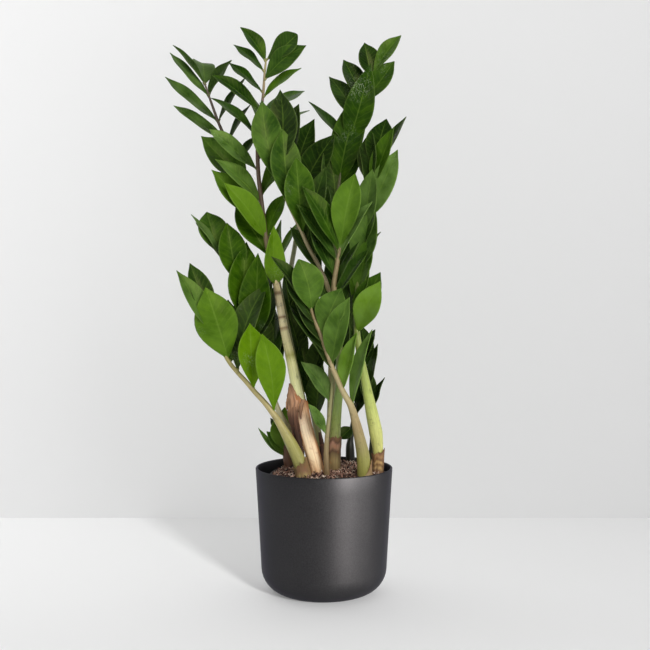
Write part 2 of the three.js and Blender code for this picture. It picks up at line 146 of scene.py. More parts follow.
bm = bmesh.new()
bmesh.ops.create_grid(bm, x_segments=1, y_segments=1, size=STUDIO_HALF * MM)
bmesh.ops.rotate(bm, verts=bm.verts, matrix=Matrix.Rotation(math.pi / 2, 3, "X"))
bmesh.ops.translate(bm, verts=bm.verts, vec=(0, WALL_BEHIND * MM, STUDIO_HALF * MM))
made_object("wall", bm, wall_paint)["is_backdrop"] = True


def soft_light(name, place, aim, width, height, watts, colour, onto):
    """A soft light of a width and height at a place, turned to an aim, that falls on one group."""
    lamp = bpy.data.lights.new(name, "AREA")
    lamp.shape = "RECTANGLE"
    lamp.size = width
    lamp.size_y = height
    lamp.energy = watts
    lamp.color = colour
    made = bpy.data.objects.new(name, lamp)
    made.visible_camera = False
    made.location = place
    made.rotation_euler = (Vector(aim) - Vector(place)).to_track_quat("-Z", "Y").to_euler()
    made.light_linking.receiver_collection = groups[onto]
    bpy.context.scene.collection.objects.link(made)
    return made


# wall_light and table_light cast no shadow, and low_light casts only that of the pots.
WARM = (1, 0.97, 0.93)
NEUTRAL = (1, 1, 1)
groups = {part: bpy.data.collections.new("lit_" + part) for part in ("pots", "plant", "floor", "wall")}
soft_light("pot_light", (1.35, -1.75, 0.28), (0, 0, 0.1), 1.05, 0.5, 60, (1, 0.955, 0.9), "pots")
soft_light("pot_side", (2.1, -0.75, 0.28), (0, 0, 0.1), 1.3, 0.5, 26, WARM, "pots")
soft_light("pot_fill", (1.2, -1.6, 1.8), (0, 0, 0.1), 1.0, 1.0, 14, NEUTRAL, "pots")
soft_light("leaf_light", (1.0, -1.9, 1.5), (0, 0, 0.4), 1.4, 1.4, 44, WARM, "plant")
soft_light("back_light", (-0.9, 1.5, 1.3), (0, 0, 0.4), 1.2, 1.2, 16, WARM, "plant")
wall_light = soft_light("wall_light", (-1.6, -1.6, 1.7), (-0.3, 0.3, 0.3), 1.4, 1.4, 40, NEUTRAL, "wall")
wall_light.data.use_shadow = False
soft_light("wall_fill", (1.1, -1.6, 2.4), (0, 0, 0.5), 1.0, 1.0, 16, NEUTRAL, "wall")
soft_light("soil_fill", (-0.5, -0.5, 0.6), (0, 0, 0.16), 0.3, 0.3, 0.6, NEUTRAL, "plant")
table_light = soft_light("table_light", (-1.0, 0.4, 1.6), (-1.0, 0.4, 0), 1.0, 1.0, 11.6, NEUTRAL, "floor")
table_light.data.use_shadow = False
low_light = soft_light("low_light", (1.9, -4.3, 1.55), (0, 0, 0), 0.5, 0.5, 215, NEUTRAL, "floor")
low_light.light_linking.blocker_collection = groups["pots"]

sky = bpy.data.worlds.new("studio_sky")
bpy.context.scene.world = sky
sky.use_nodes = True
sky.node_tree.nodes["Background"].inputs["Color"].default_value = (1, 1, 1, 1)
sky.node_tree.nodes["Background"].inputs["Strength"].default_value = 0.32


# ---------- the cover pot ----------
# A thin-walled round pot with a slight taper and a broad rounded foot, moulded in one piece. It has a
# satin charcoal finish with a faint metallic grain, and its rounded rim catches the light.

COVER = {"rim_radius": 90, "height": 165, "foot_radius": 82.6, "corner": 34, "wall": 3, "floor": 4}


def arc(out, up, radius, start, end, steps):
    """Points of a profile on an arc about out, up, from one angle to another in degrees."""
    angles = [math.radians(start + (end - start) * i / steps) for i in range(steps + 1)]
    return [(out + radius * math.cos(a), up + radius * math.sin(a)) for a in angles]


def turned(profile, steps):
    """A closed form turned about the upright axis from a profile that starts and ends on it."""
    bm = bmesh.new()
    points = [bm.verts.new((out * MM, 0, up * MM)) for out, up in profile]
    edges = [bm.edges.new(pair) for pair in zip(points, points[1:])]
    bmesh.ops.spin(bm, geom=points + edges, cent=(0, 0, 0), axis=(0, 0, 1), angle=2 * math.pi,
                   steps=steps, use_merge=True)
    bmesh.ops.remove_doubles(bm, verts=bm.verts, dist=1e-6)
    bmesh.ops.recalc_face_normals(bm, faces=bm.faces)
    return bm


def cup_profile(rim_radius, height, foot_radius, corner, wall, floor, rim):
    """The section of a cup: out under the foot, up the side, over a rim bead and down the inside."""
    lean = math.degrees(math.atan2(rim_radius - foot_radius, height - corner))
    side = [(foot_radius + (rim_radius - foot_radius) * i / 6, corner + (height - corner) * i / 6)
            for i in range(1, 6)]
    inner = [(out - wall, up) for out, up in reversed(side)]
    return ([(0, 0), ((foot_radius - corner) / 2, 0)]
            + arc(foot_radius - corner, corner, corner, -90, -lean, 10)
            + side
            + rim
            + inner
            + arc(foot_radius - corner, corner + floor - wall, corner - wall, -lean, -90, 10)
            + [((foot_radius - corner) / 2, floor), (0, floor)])


def pattern(name, inputs, outputs):
    """A new shader node group that takes and gives numbers, with its input and output nodes."""
    group = bpy.data.node_groups.new(name, "ShaderNodeTree")
    for way, sockets in (("INPUT", inputs), ("OUTPUT", outputs)):
        for socket in sockets:
            group.interface.new_socket(socket, in_out=way, socket_type="NodeSocketFloat")
    return group, group.nodes.new("NodeGroupInput"), group.nodes.new("NodeGroupOutput")


def cloud(tree, spot, scale, **more):
    """Noise at a spot, from 0 to 1."""
    return node(tree, "TexNoise", {"Vector": spot, "Scale": scale} | more).outputs["Fac"]


def eased(tree, value, low, high, start, end, **settings):
    """A value between low and high as one between start and end."""
    ends = {"Value": value, "From Min": low, "From Max": high, "To Min": start, "To Max": end}
    return node(tree, "MapRange", ends, **settings).outputs["Result"]


def scaled(tree, colour, by):
    """A colour made darker or brighter."""
    return node(tree, "VectorMath", {0: colour, "Scale": by}, operation="SCALE").outputs["Vector"]


def bumps(tree, height, strength, distance):
    """The normal of a surface with a fine relief."""
    relief = {"Height": height, "Strength": strength, "Distance": distance}
    return node(tree, "Bump", relief).outputs["Normal"]


# Fine grain and broad patches of a moulded surface, from 0 to 1.
fine_grain, given, result = pattern("fine_grain", ["Scale"], ["Grain", "Patches"])
where = node(fine_grain, "TexCoord").outputs["Object"]
fill(fine_grain, result, {
    "Grain": cloud(fine_grain, where, given.outputs["Scale"], Detail=3.0, Roughness=0.7),
    "Patches": cloud(fine_grain, where, 22.0, Detail=3.0),
})

charcoal, tree, shader = finish("satin_charcoal")
grain = node(tree, "Group", {"Scale": 620}, node_tree=fine_grain).outputs
tone = ramp(tree, grain["Patches"], (0, (0.041, 0.0405, 0.043, 1)), (1, (0.051, 0.0495, 0.052, 1)))
fill(tree, shader, {
    "Base Color": scaled(tree, tone, eased(tree, grain["Grain"], 0.3, 0.7, 0.8, 1.2)),
    "Roughness": eased(tree, grain["Grain"], 0.3, 0.7, 0.4, 0.5),
    "Normal": bumps(tree, grain["Grain"], 0.06, 0.0002),
    "Metallic": 0.9,
    "Anisotropic": 0.3,
    "Anisotropic Rotation": 0.25,
    "Specular Tint": (0.55, 0.55, 0.6, 1),
})

rim = arc(COVER["rim_radius"] - COVER["wall"] / 2, COVER["height"] - COVER["wall"] / 2,
          COVER["wall"] / 2, 0, 180, 8)
cover_pot = made_object("cover_pot_shell", turned(cup_profile(**COVER, rim=rim), 144), charcoal)
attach(cover_pot, "root")
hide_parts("cover_pot")


# ---------- the nursery pot ----------
# A thin black pot, blow-moulded in soft plastic, with a small rolled rim and four drain holes. It stands
# inside the cover pot, off centre to the right, so that a dark gap shows round it.

NURSERY = {"rim_radius": 77, "height": 152, "foot_radius": 60, "corner": 17, "wall": 1.4, "floor": 1.4}
RIM_BEAD = 1.3
NURSERY_PLACE = (6, 0, 4.35)
DRAIN = {"count": 4, "radius": 5, "depth": 8, "pitch_radius": 30}

nursery_plastic, tree, shader = finish("nursery_plastic")
grain = node(tree, "Group", {"Scale": 500}, node_tree=fine_grain).outputs
tone = ramp(tree, grain["Patches"], (0, (0.006, 0.006, 0.006, 1)), (1, (0.016, 0.015, 0.014, 1)))
relief = bumps(tree, grain["Grain"], 0.3, 0.0003)
fill(tree, shader, {"Base Color": tone, "Roughness": 0.6, "Normal": relief})

bead = arc(NURSERY["rim_radius"] - RIM_BEAD, NURSERY["height"] - RIM_BEAD, RIM_BEAD, -20, 200, 8)
bm = turned(cup_profile(**NURSERY, rim=bead), 96)
bmesh.ops.translate(bm, verts=bm.verts, vec=Vector(NURSERY_PLACE) * MM)
nursery_pot = made_object("nursery_pot_shell", bm, nursery_plastic)

bm = bmesh.new()
for i in range(DRAIN["count"]):
    angle = 2 * math.pi * i / DRAIN["count"]
    out = DRAIN["pitch_radius"]
    spot = Vector((NURSERY_PLACE[0] + out * math.cos(angle), out * math.sin(angle), NURSERY_PLACE[2]))
    bmesh.ops.create_cone(bm, cap_ends=True, segments=24, radius1=DRAIN["radius"] * MM,
                          radius2=DRAIN["radius"] * MM, depth=DRAIN["depth"] * MM,
                          matrix=Matrix.Translation(spot * MM))
punches = made_object("drain_punches", bm)
punched = nursery_pot.modifiers.new("drains", "BOOLEAN")
punched.operation = "DIFFERENCE"
punched.object = punches
shape = bpy.data.meshes.new_from_object(nursery_pot.evaluated_get(bpy.context.evaluated_depsgraph_get()))
nursery_pot.modifiers.clear()
nursery_pot.data = shape
bpy.data.objects.remove(punches)
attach(nursery_pot, "root")
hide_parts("nursery_pot")


# ---------- the peat ----------
# Coarse peat and coir that fills the nursery pot nearly to its rim and heaps a little behind the middle.
# It is pinkish brown, and the dark gaps between its crumbs are painted shade.

SOIL = {"edge_height": 153, "mound": 12, "lump": 1.3, "crumb": 1.1, "gap": 0.35, "rings": 44, "segments": 120}
SOIL_INSET = NURSERY["wall"] + SOIL["gap"]
SOIL_FOOT = NURSERY_PLACE[2] + NURSERY["corner"]
SOIL_SLOPE = (NURSERY["rim_radius"] - NURSERY["foot_radius"]) / (NURSERY["height"] - NURSERY["corner"])
SOIL_EDGE = NURSERY["foot_radius"] - SOIL_INSET + (SOIL["edge_height"] - SOIL_FOOT) * SOIL_SLOPE


def soil_height(x, y):
    """The height of the peat at a place measured from the nursery pot's axis."""
    share = min(1, math.hypot(x, y) / SOIL_EDGE)
    mound = SOIL["mound"] * (1 - share ** 4) * (0.9 + 0.25 * y / NURSERY["rim_radius"])
    lumps = math.sin(0.31 * x + 1) * math.cos(0.27 * y) + 0.7 * math.sin(0.17 * x - 0.33 * y + 2)
    return SOIL["edge_height"] + mound + SOIL["lump"] * lumps * min(1, 4 * (1 - share))


profile = [(0, NURSERY_PLACE[2] + SOIL_INSET), (22, NURSERY_PLACE[2] + SOIL_INSET)]
profile += arc(NURSERY["foot_radius"] - NURSERY["corner"], SOIL_FOOT,
               NURSERY["corner"] - SOIL_INSET, -90, 0, 8)
profile += [(SOIL_EDGE * i / SOIL["rings"], SOIL["edge_height"]) for i in range(SOIL["rings"], -1, -1)]
bm = turned(profile, SOIL["segments"])
for v in bm.verts:
    x, y, z = v.co / MM
    if z > SOIL["edge_height"] - 1:
        crumbs = noise.fractal(Vector((x, y, 0)) * 0.35, 0.6, 2.2, 4)
        z = soil_height(x, y) + SOIL["crumb"] * crumbs * min(1, 6 * (1 - math.hypot(x, y) / SOIL_EDGE))
    v.co = Vector((x + NURSERY_PLACE[0], y, z)) * MM


def reckon(tree, operation, *values):
    """The result of one operation on numbers and sockets."""
    return node(tree, "Math", dict(enumerate(values)), operation=operation).outputs["Value"]


peat_crumbs, tree, shader = finish("peat_crumbs")
where = node(tree, "TexCoord").outputs["Object"]
crumbs = cloud(tree, where, 420.0, Detail=6.0, Roughness=0.75)
cells = node(tree, "TexVoronoi", {"Vector": where, "Scale": 520.0}).outputs["Distance"]
fill(tree, shader, {
    # The darkest end of this ramp, where the relief is low, is painted shade in the gaps between crumbs.
    "Base Color": ramp(tree, crumbs, (0.36, linear(16, 9, 7)), (0.52, linear(58, 36, 29)),
                       (0.72, linear(112, 78, 66))),
    "Roughness": 0.95,
    "Normal": bumps(tree, reckon(tree, "ADD", crumbs, cells), 0.9, 0.0012),
})

peat = made_object("peat_fill", bm, peat_crumbs)
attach(peat, "root")
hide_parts("soil")


# ---------- the fronds ----------
# Fourteen compound leaves that rise from the soil. Each is a fleshy stalk, thick at its foot, that tapers
# into a rachis with thick glossy leaflets on either side of it. The stalks are pale to olive green, and
# the rachis turns brown. Young leaflets are yellow-green, old ones deep green, and all are paler below.

# A place is written as x, z and near, as in the solids: as it is seen from EYE, at the scale of the
# pot's axis, and near millimetres in front of it.
EYE = Vector((0, -1400, 398))
AIM = Vector((0, 0, 351.6))
BURIED = 122

# stem: x, z, near, radius. tints: height and colour of the stalk. leaflets: height of the joint, x and z
# of the tip, how much nearer the tip is than the joint, width, tilt in degrees, tone, from the deep green
# of an old leaflet at 0 to the yellow-green of a young one at 1, and, for some, values of their form and
# of their painted sheen. The tone also holds painted light and shade: leaflets in shade have lower tones,
# and well-lit ones higher tones.
FRONDS = {}
FRONDS["frond_left_tall"] = {"stem": [
    [-6, 150, 28, 7.6], [-14, 180, 28, 7.8], [-24, 215, 26, 7.8], [-33, 255, 24, 7.4], [-42, 300, 21, 6.4],
    [-51, 340, 18, 5.5], [-57, 372, 15, 5], [-62, 400, 12, 4.5], [-69, 430, 10, 3.9], [-76, 465, 8, 3.5],
    [-81, 505, 6, 3.1], [-86, 550, 4, 2.8], [-87, 590, 2, 2.5], [-84, 622, 0, 2.1], [-80, 652, -2, 1.8],
    [-78, 680, -4, 1.5], [-76, 700, -6, 1.2],
# Painted light: the tints from 344 to 397 mm are paler than the stalk, to offset the leaflets' shade on it.
], "tints": [
    [150, 205, 190, 130], [258, 232, 232, 174], [305, 230, 226, 162], [313, 180, 176, 100],
    [321, 224, 216, 156], [344, 240, 228, 176], [348, 170, 136, 92], [351, 248, 234, 184],
    [359, 250, 236, 188], [362, 160, 124, 86], [365, 252, 236, 190], [389, 250, 230, 184],
    [393, 140, 106, 74], [397, 236, 216, 164], [440, 150, 136, 92], [478, 106, 86, 66], [640, 92, 70, 56],
    [668, 150, 132, 96], [700, 160, 150, 100],
], "leaflets": [
    [402, -58, 490, -16, 22, 50, 0.5],
    [404, -65, 482, 20, 30, 20, 0.85, {"bend": -0.05, "widest": 0.38, "fold": 0.5}],
    [440, -116, 511, -16, 36, 20, 0.45], [464, -50, 525, 6, 28, 38, 0.45, {"bend": -0.04}],
    [464, -131, 538, 26, 32, 32, 0.78, {"fold": 0.5, "bend": 0.03, "bloom": 0.15}],
    [492, -147, 556, 10, 38, 30, 0.6, {"bend": -0.05, "bloom": 0.15}],
    [512, -142, 570, 16, 30, 44, 0.5, {"bend": 0.02, "bloom": 0.4}], [520, -42, 584, -20, 28, 52, 0.4],
    [554, -150, 609, 16, 28, 52, 0.5, {"bend": -0.03, "bloom": 0.5}], [568, -32, 612, -62, 26, 60, 0.4],
    [598, -19, 635, -62, 26, 60, 0.4], [598, -147, 651, 6, 24, 58, 0.25, {"bend": 0.03}],
    [616, -102, 662, -36, 22, 55, 0.2, {"bloom": 0.3}], [625, -26, 661, -62, 24, 60, 0.4],
    [630, -146, 681, 4, 26, 56, 0.2, {"bend": 0.03}], [650, -30, 689, 2, 26, 60, 0.5],
    [656, -124, 697, -4, 18, 62, 0.2, {"bend": -0.02}], [672, -24, 719, 16, 32, 30, 0.35, {"bend": -0.05}],
    [683, -118, 720, 0, 18, 58, 0.25], [697, -109, 743, 0, 24, 44, 0.3, {"bend": 0.03}],
    [699, -35, 733, 10, 32, 25, 0.25, {"widest": 0.66, "pointed": 0.6, "bend": 0.05}],
]}
FRONDS["frond_back_left"] = {"stem": [
    [-14, 155, -12, 6.4], [-20, 205, -14, 5.4], [-30, 260, -18, 5], [-41, 310, -24, 4.6],
    [-51, 360, -30, 4.2], [-60, 405, -34, 3.8], [-72, 465, -40, 3.3], [-88, 510, -42, 3],
    [-103, 548, -42, 2.7], [-118, 575, -42, 2.5], [-128, 594, -42, 2.3], [-138, 616, -42, 2],
    [-145, 635, -42, 1.8], [-151, 652, -42, 1.5], [-157, 670, -42, 1.2],
], "tints": [
    [150, 150, 150, 90], [300, 120, 120, 66], [480, 96, 84, 58], [560, 88, 70, 56], [670, 96, 82, 70],
], "leaflets": [
    [425, -36, 487, -6, 18, 66, 0.7], [540, -161, 600, 4, 44, 32, 0.4, {"bend": -0.06, "bloom": 0.2}],
    [562, -86, 602, -8, 20, 68, 0.1], [590, -97, 641, -8, 20, 68, 0.1],
    [590, -197, 640, -4, 22, 54, 0.35, {"bend": -0.03, "bloom": 0.4}], [618, -103, 677, -8, 20, 68, 0.15],
    [618, -208, 678, -4, 22, 58, 0.25, {"bend": -0.04, "bloom": 0.35}],
    [653, -122, 700, -6, 24, 60, 0.1, {"bloom": 0.2}],
    [651, -202, 709, -4, 20, 58, 0.25, {"bend": -0.04, "bloom": 0.35}], [667, -197, 720, 0, 16, 66, 0.15],
    [667, -160, 701, -30, 32, 20, 0.15, {"curl": 1.2, "widest": 0.58, "pointed": 0.6, "bloom": 0.35}],
]}
FRONDS["frond_left_low"] = {"stem": [
    [-25.5, 150, 40, 9.2], [-32, 172, 40, 8.8], [-42.5, 195, 41, 7.6], [-53, 214, 42, 5.8],
    [-65, 233, 43, 4.2], [-78, 250, 44, 3.5], [-91, 264, 45, 3.2], [-102, 277, 46, 3], [-113, 289, 47, 2.8],
    [-123, 301, 47, 2.6], [-131, 314, 47, 2.4], [-141, 331, 46, 2.1], [-150, 350, 44, 1.7],
    [-157, 366, 42, 1.3],
], "tints": [
    [150, 164, 152, 96], [175, 160, 156, 88], [200, 158, 154, 86], [240, 176, 162, 110],
    [300, 156, 146, 88], [366, 120, 130, 60],
], "leaflets": [
    [234, -81, 340, 20, 38, 10, 0.85, {"fold": 0.4, "twist": 0.0, "bend": 0.03, "widest": 0.6}],
    [265, -97, 354, 6, 38, 14, 0.85, {"fold": 0.55, "twist": 0.0, "bend": -0.02, "widest": 0.58}],
    [290, -75, 408, -24, 36, 34, 0.05, {"bend": -0.06}], [301, -126, 385, -34, 36, 25, 0.25],
    [304, -155, 401, 8, 55, 8, 0.62, {"fold": -0.25, "twist": 0.1, "bend": 0.0, "widest": 0.52}],
    [342, -192, 424, 8, 32, 40, 0.5, {"bend": -0.02, "bloom": 0.35}], [350, -176, 433, -12, 32, 30, 0.1],
]}
FRONDS["frond_left_middle"] = {"stem": [
    [-24, 152, 15, 6.8], [-36, 190, 14, 5.2], [-48, 217, 13, 4.2], [-60, 240, 12, 3.7], [-71, 270, 10, 3.3],
    [-83, 305, 7, 3.1], [-94, 340, 4, 2.9], [-102, 372, 2, 2.7], [-110, 396, 0, 2.4], [-121, 420, -2, 2.1],
    [-132, 437, -3, 1.8], [-144, 452, -4, 1.4],
], "tints": [
    [150, 150, 150, 100], [240, 168, 164, 128], [330, 120, 130, 74], [452, 96, 96, 58],
], "leaflets": [
    [262, -56, 350, -14, 34, 35, 0.1], [272, -64, 372, -24, 36, 30, 0.1], [300, -92, 376, -6, 36, 25, 0.1],
    [325, -62, 405, -14, 36, 30, 0.1], [336, -70, 428, -2, 36, 30, 0.15],
    [330, -112, 402, -18, 34, 30, 0.15], [332, -87, 446, 20, 44, 16, 0.36, {"fold": 0.4, "twist": 0.0}],
    [346, -101, 461, -2, 46, 14, 0.4, {"bend": -0.07, "twist": 0.0, "fold": 0.35}],
    [406, -127, 486, 8, 38, 14, 0.42, {"twist": 0.0, "fold": 0.4}], [434, -168, 486, -4, 22, 56, 0.05],
    [446, -154, 500, -8, 40, 15, 0.32], [440, -174, 497, 16, 12, 52, 0.1, {"bloom": 0.5}],
]}
FRONDS["frond_left_small"] = {"stem": [
    [-43, 160, -20, 7.6], [-47, 175, -22, 7], [-51, 190, -24, 4.2], [-55, 205, -25, 2.4],
    [-58, 219, -26, 1.6],
], "tints": [
    [155, 104, 68, 48], [180, 112, 76, 52], [192, 84, 66, 42], [219, 70, 84, 40],
], "leaflets": [
    [178, -86, 217, 0, 10, 40, 0.5, {"bloom": 0.8, "bend": -0.14}],
    [184, -75, 212, 6, 20, 20, 0.5, {"bloom": 0.25, "bend": -0.02}], [200, -70, 230, -10, 18, 40, 0.1],
    [186, -51, 244, 2, 33, 14, 0.65, {"bloom": 0.35, "bend": -0.12}], [205, -64, 236, -14, 16, 40, 0.1],
]}
FRONDS["frond_centre_left"] = {"stem": [
    [8, 155, -10, 6.4], [9, 220, -6, 5.6], [10, 280, 2, 5], [10, 340, 12, 4], [6, 395, 20, 3.2],
    [-5, 425, 24, 2.8], [-20, 453, 28, 2.6], [-33, 482, 32, 2.4], [-48, 513, 35, 2.1], [-58, 540, 37, 1.8],
    [-64, 560, 38, 1.5],
], "tints": [
    [150, 130, 130, 76], [340, 136, 126, 84], [420, 176, 160, 122], [560, 140, 132, 92],
], "leaflets": [
    [420, -44, 480, -6, 26, 42, 0.1], [440, 5, 534, -14, 34, 25, 0.2], [458, 2, 560, -18, 32, 30, 0.12],
    [470, -36, 571, 28, 40, 14, 0.46, {"widest": 0.6, "twist": 0.0, "fold": 0.35, "bend": -0.02}],
    [494, -54, 609, 8, 42, 14, 0.38, {"widest": 0.6, "bend": -0.04, "fold": 0.3, "bloom": 0.15}],
    [524, -88, 606, -20, 28, 40, 0.3],
    [520, -81, 647, -4, 40, 14, 0.36, {"widest": 0.62, "bend": -0.06, "fold": 0.3, "bloom": 0.2}],
    [554, -58, 661, -22, 42, 14, 0.06, {"bend": 0.07, "twist": 0.0}],
]}
FRONDS["frond_back_centre"] = {"stem": [
    [2, 155, -46, 6], [-8, 210, -50, 5.2], [-19, 260, -54, 4.8], [-32, 310, -58, 4.4], [-42, 355, -60, 4.1],
    [-47, 395, -62, 3.8], [-43, 428, -62, 3.5], [-38, 457, -62, 3.2], [-34, 490, -62, 3],
    [-35, 525, -62, 2.7], [-42, 560, -60, 2.3], [-53, 600, -58, 1.7],
], "tints": [
    [150, 120, 120, 70], [400, 140, 138, 104], [440, 150, 150, 118], [600, 84, 72, 52],
], "leaflets": [
    [225, -2, 300, 8, 30, 30, 0.1], [245, -30, 330, 0, 34, 35, 0.1], [262, 4, 352, 6, 32, 35, 0.05],
    [290, -48, 372, 6, 32, 25, 0.05], [318, -20, 408, 0, 36, 20, 0.05], [345, -52, 420, 0, 28, 35, 0.1],
    [490, 2, 566, 10, 36, 25, 0.1], [515, 14, 602, 46, 38, 20, 0.12, {"bend": -0.02, "twist": -0.2}],
    [545, -13, 622, 36, 36, 22, 0.08], [556, -84, 622, -12, 28, 45, 0.1], [575, -34, 641, 42, 34, 30, 0.08],
    [586, -84, 644, -10, 26, 45, 0.1],
]}
FRONDS["frond_centre_front"] = {"stem": [
    [13, 150, 14, 7.6], [13, 180, 15, 7.4], [15, 215, 17, 6.8], [17.5, 245, 20, 6.1], [21, 280, 23, 5.6],
    [20, 320, 27, 5], [16, 362, 32, 4.3], [13, 400, 36, 3.6], [17, 430, 40, 3], [22, 453, 42, 2.4],
], "tints": [
    [150, 140, 126, 84], [195, 140, 140, 84], [225, 134, 150, 74], [260, 120, 146, 72], [330, 116, 128, 70],
    [390, 140, 126, 88], [453, 150, 132, 96],
], "leaflets": [
    [290, 30, 372, -10, 32, 30, 0.1], [335, 38, 412, -34, 28, 40, 0.1], [352, -14, 425, -16, 30, 35, 0.1],
    [386, 60, 452, -14, 28, 48, 0.3], [396, 46, 462, 12, 18, 70, 0.1], [414, -20, 486, 4, 30, 36, 0.25],
    [424, 50, 508, 4, 20, 66, 0.3, {"bloom": 0.2}], [434, -35, 511, 14, 26, 48, 0.3, {"fold": 0.5}],
    [446, -28, 535, 16, 34, 36, 0.4, {"fold": 0.45}],
    [434, 62, 514, 28, 26, 52, 0.4, {"bloom": 0.7, "bend": -0.03}],
    [450, 41, 550, 14, 38, 16, 0.64, {"fold": 0.45, "bend": -0.01, "widest": 0.58, "bloom": 0.2}],
]}
FRONDS["frond_back_tall"] = {"stem": [
    [15, 155, -26, 6.2], [17, 220, -30, 5.4], [20.5, 300, -34, 5.2], [20, 380, -34, 4.8],
    [15, 450, -32, 4.3], [15, 500, -34, 3.8], [21, 545, -32, 3.2], [31, 585, -30, 2.8], [43, 625, -28, 2.3],
    [55, 658, -26, 1.9], [66, 686, -24, 1.4],
], "tints": [
    [150, 120, 130, 70], [400, 100, 110, 56], [560, 84, 84, 52], [686, 90, 90, 60],
], "leaflets": [
    [300, 44, 388, -6, 32, 35, 0.05], [350, 4, 440, -6, 34, 30, 0.05], [380, 42, 470, -10, 34, 35, 0.05],
    [420, -12, 494, -6, 32, 35, 0.12], [440, 48, 520, -10, 32, 38, 0.12], [455, 34, 545, -20, 36, 25, 0.12],
    [470, -14, 548, -8, 34, 35, 0.1], [500, 42, 574, -8, 34, 38, 0.15], [500, 3, 592, 4, 38, 22, 0.12],
    [515, 46, 600, 0, 40, 22, 0.25], [540, -6, 590, -20, 28, 50, 0.1],
    [530, 57, 668, 8, 43, 10, 0.3, {"widest": 0.45, "twist": 0.0, "fold": 0.25, "bend": -0.035}],
    [588, -20, 645, -4, 24, 56, 0.12],
    [590, 61, 695, 34, 40, 10, 0.36, {"widest": 0.42, "twist": 0.0, "fold": 0.2, "bend": 0.02}],
    [622, 7, 678, -4, 32, 34, 0.1], [646, 26, 700, -4, 32, 34, 0.1],
    [640, 92, 698, 6, 32, 34, 0.35, {"bend": 0.05}], [676, 53, 722, -4, 32, 30, 0.12],
    [680, 101, 732, 0, 23, 26, 0.42, {"widest": 0.56, "bend": -0.02, "bloom": 0.2}],
]}
FRONDS["frond_right"] = {"stem": [
    [70, 150, 6, 6], [71, 182, 8, 6.4], [68, 210, 10, 9], [63, 235, 12, 8.2], [57, 264, 13, 6.4],
    [51, 294, 14, 5.4], [46, 320, 14, 4.7], [43, 345, 13, 4.2], [43, 380, 12, 3.8], [46, 420, 10, 3.4],
    [50, 460, 9, 3], [56, 500, 8, 2.6], [63, 535, 7, 2.1], [69, 562, 6, 1.5],
], "tints": [
    [150, 150, 130, 90], [186, 206, 206, 122], [215, 206, 210, 124], [262, 176, 190, 100],
    [300, 156, 172, 88], [360, 128, 146, 70], [440, 112, 120, 60], [562, 110, 116, 62],
], "leaflets": [
    [340, 74, 409, 34, 34, 6, 1.0, {"widest": 0.55, "fold": 0.35, "bend": -0.03, "bloom": 0.55}],
    [347, 74, 421, 14, 34, 24, 0.3], [372, 60, 440, 4, 30, 45, 0.35],
    [392, 62, 470, 10, 30, 38, 0.45, {"bloom": 0.2}], [433, 74, 474, 2, 18, 76, 0.05],
    [420, 67, 505, 8, 38, 26, 0.4, {"bloom": 0.35}], [448, 66, 520, 8, 30, 42, 0.35, {"bloom": 0.2}],
    [470, 63, 556, 12, 32, 40, 0.4, {"bloom": 0.4}],
    [486, 96, 582, 12, 36, 26, 0.5, {"bloom": 0.65, "bend": 0.03}], [515, 47, 586, -10, 22, 64, 0.05],
    [530, 62, 608, -8, 34, 38, 0.08], [545, 106, 626, 0, 22, 64, 0.05, {"bloom": 0.2}],
    [536, 91, 612, 16, 30, 38, 0.45, {"bend": 0.03}], [552, 82, 622, -4, 38, 18, 0.12],
]}
FRONDS["frond_front_right"] = {"stem": [
    [53, 150, 36, 9.2], [51.5, 178, 40, 8.8], [47.5, 200, 44, 7.3], [41.5, 225, 48, 5.7],
    [35, 246, 51, 4.4], [25, 264, 54, 3.7], [17, 282, 55, 3.4], [9, 300, 56, 3.2], [2, 320, 57, 3],
    [-5, 340, 58, 2.7], [-12, 357, 59, 2.3], [-17, 373, 60, 1.9],
], "tints": [
    [150, 160, 158, 84], [182, 156, 154, 80], [200, 152, 142, 90], [225, 158, 138, 96],
    [262, 176, 162, 118], [320, 160, 142, 104], [373, 140, 122, 84],
], "leaflets": [
    [242, 62, 346, 6, 24, 48, 0.6, {"bloom": 0.8, "bend": -0.04}],
    [266, 42, 342, 8, 24, 40, 0.85, {"bloom": 0.5}], [290, -28, 350, -2, 28, 50, 0.1],
    [298, 33, 388, 24, 34, 30, 0.42, {"bend": -0.02, "bloom": 0.35}], [312, -44, 378, -10, 34, 42, 0.08],
    [325, -40, 395, -16, 34, 40, 0.06],
    [332, 23, 400, 6, 40, 14, 0.4, {"bend": -0.03, "twist": 0.1, "bloom": 0.3, "widest": 0.58}],
    [350, -50, 412, 2, 28, 50, 0.1], [366, -68, 442, 4, 26, 50, 0.06, {"bend": 0.02}],
    [370, -33, 438, 6, 42, 16, 0.4, {"widest": 0.56, "pointed": 0.7, "bend": 0.04, "bloom": 0.25}],
]}
FRONDS["frond_front_small"] = {"stem": [
    [4, 150, 43, 4], [3, 180, 43, 3.4], [4, 205, 43, 2.9], [7, 235, 43, 2.5], [9, 255, 43, 2.2],
    [11, 278, 43, 1.8], [12, 296, 42, 1.4],
], "tints": [
    [150, 112, 88, 62], [190, 146, 126, 88], [225, 150, 142, 100], [296, 120, 124, 76],
], "leaflets": [
    [208, -20, 248, 6, 20, 46, 0.4, {"bloom": 0.7, "bend": -0.07}],
    [249, -29, 304, 4, 29, 40, 0.3, {"bloom": 0.5, "bend": 0.04}], [285, 2, 342, -6, 22, 56, 0.15],
]}
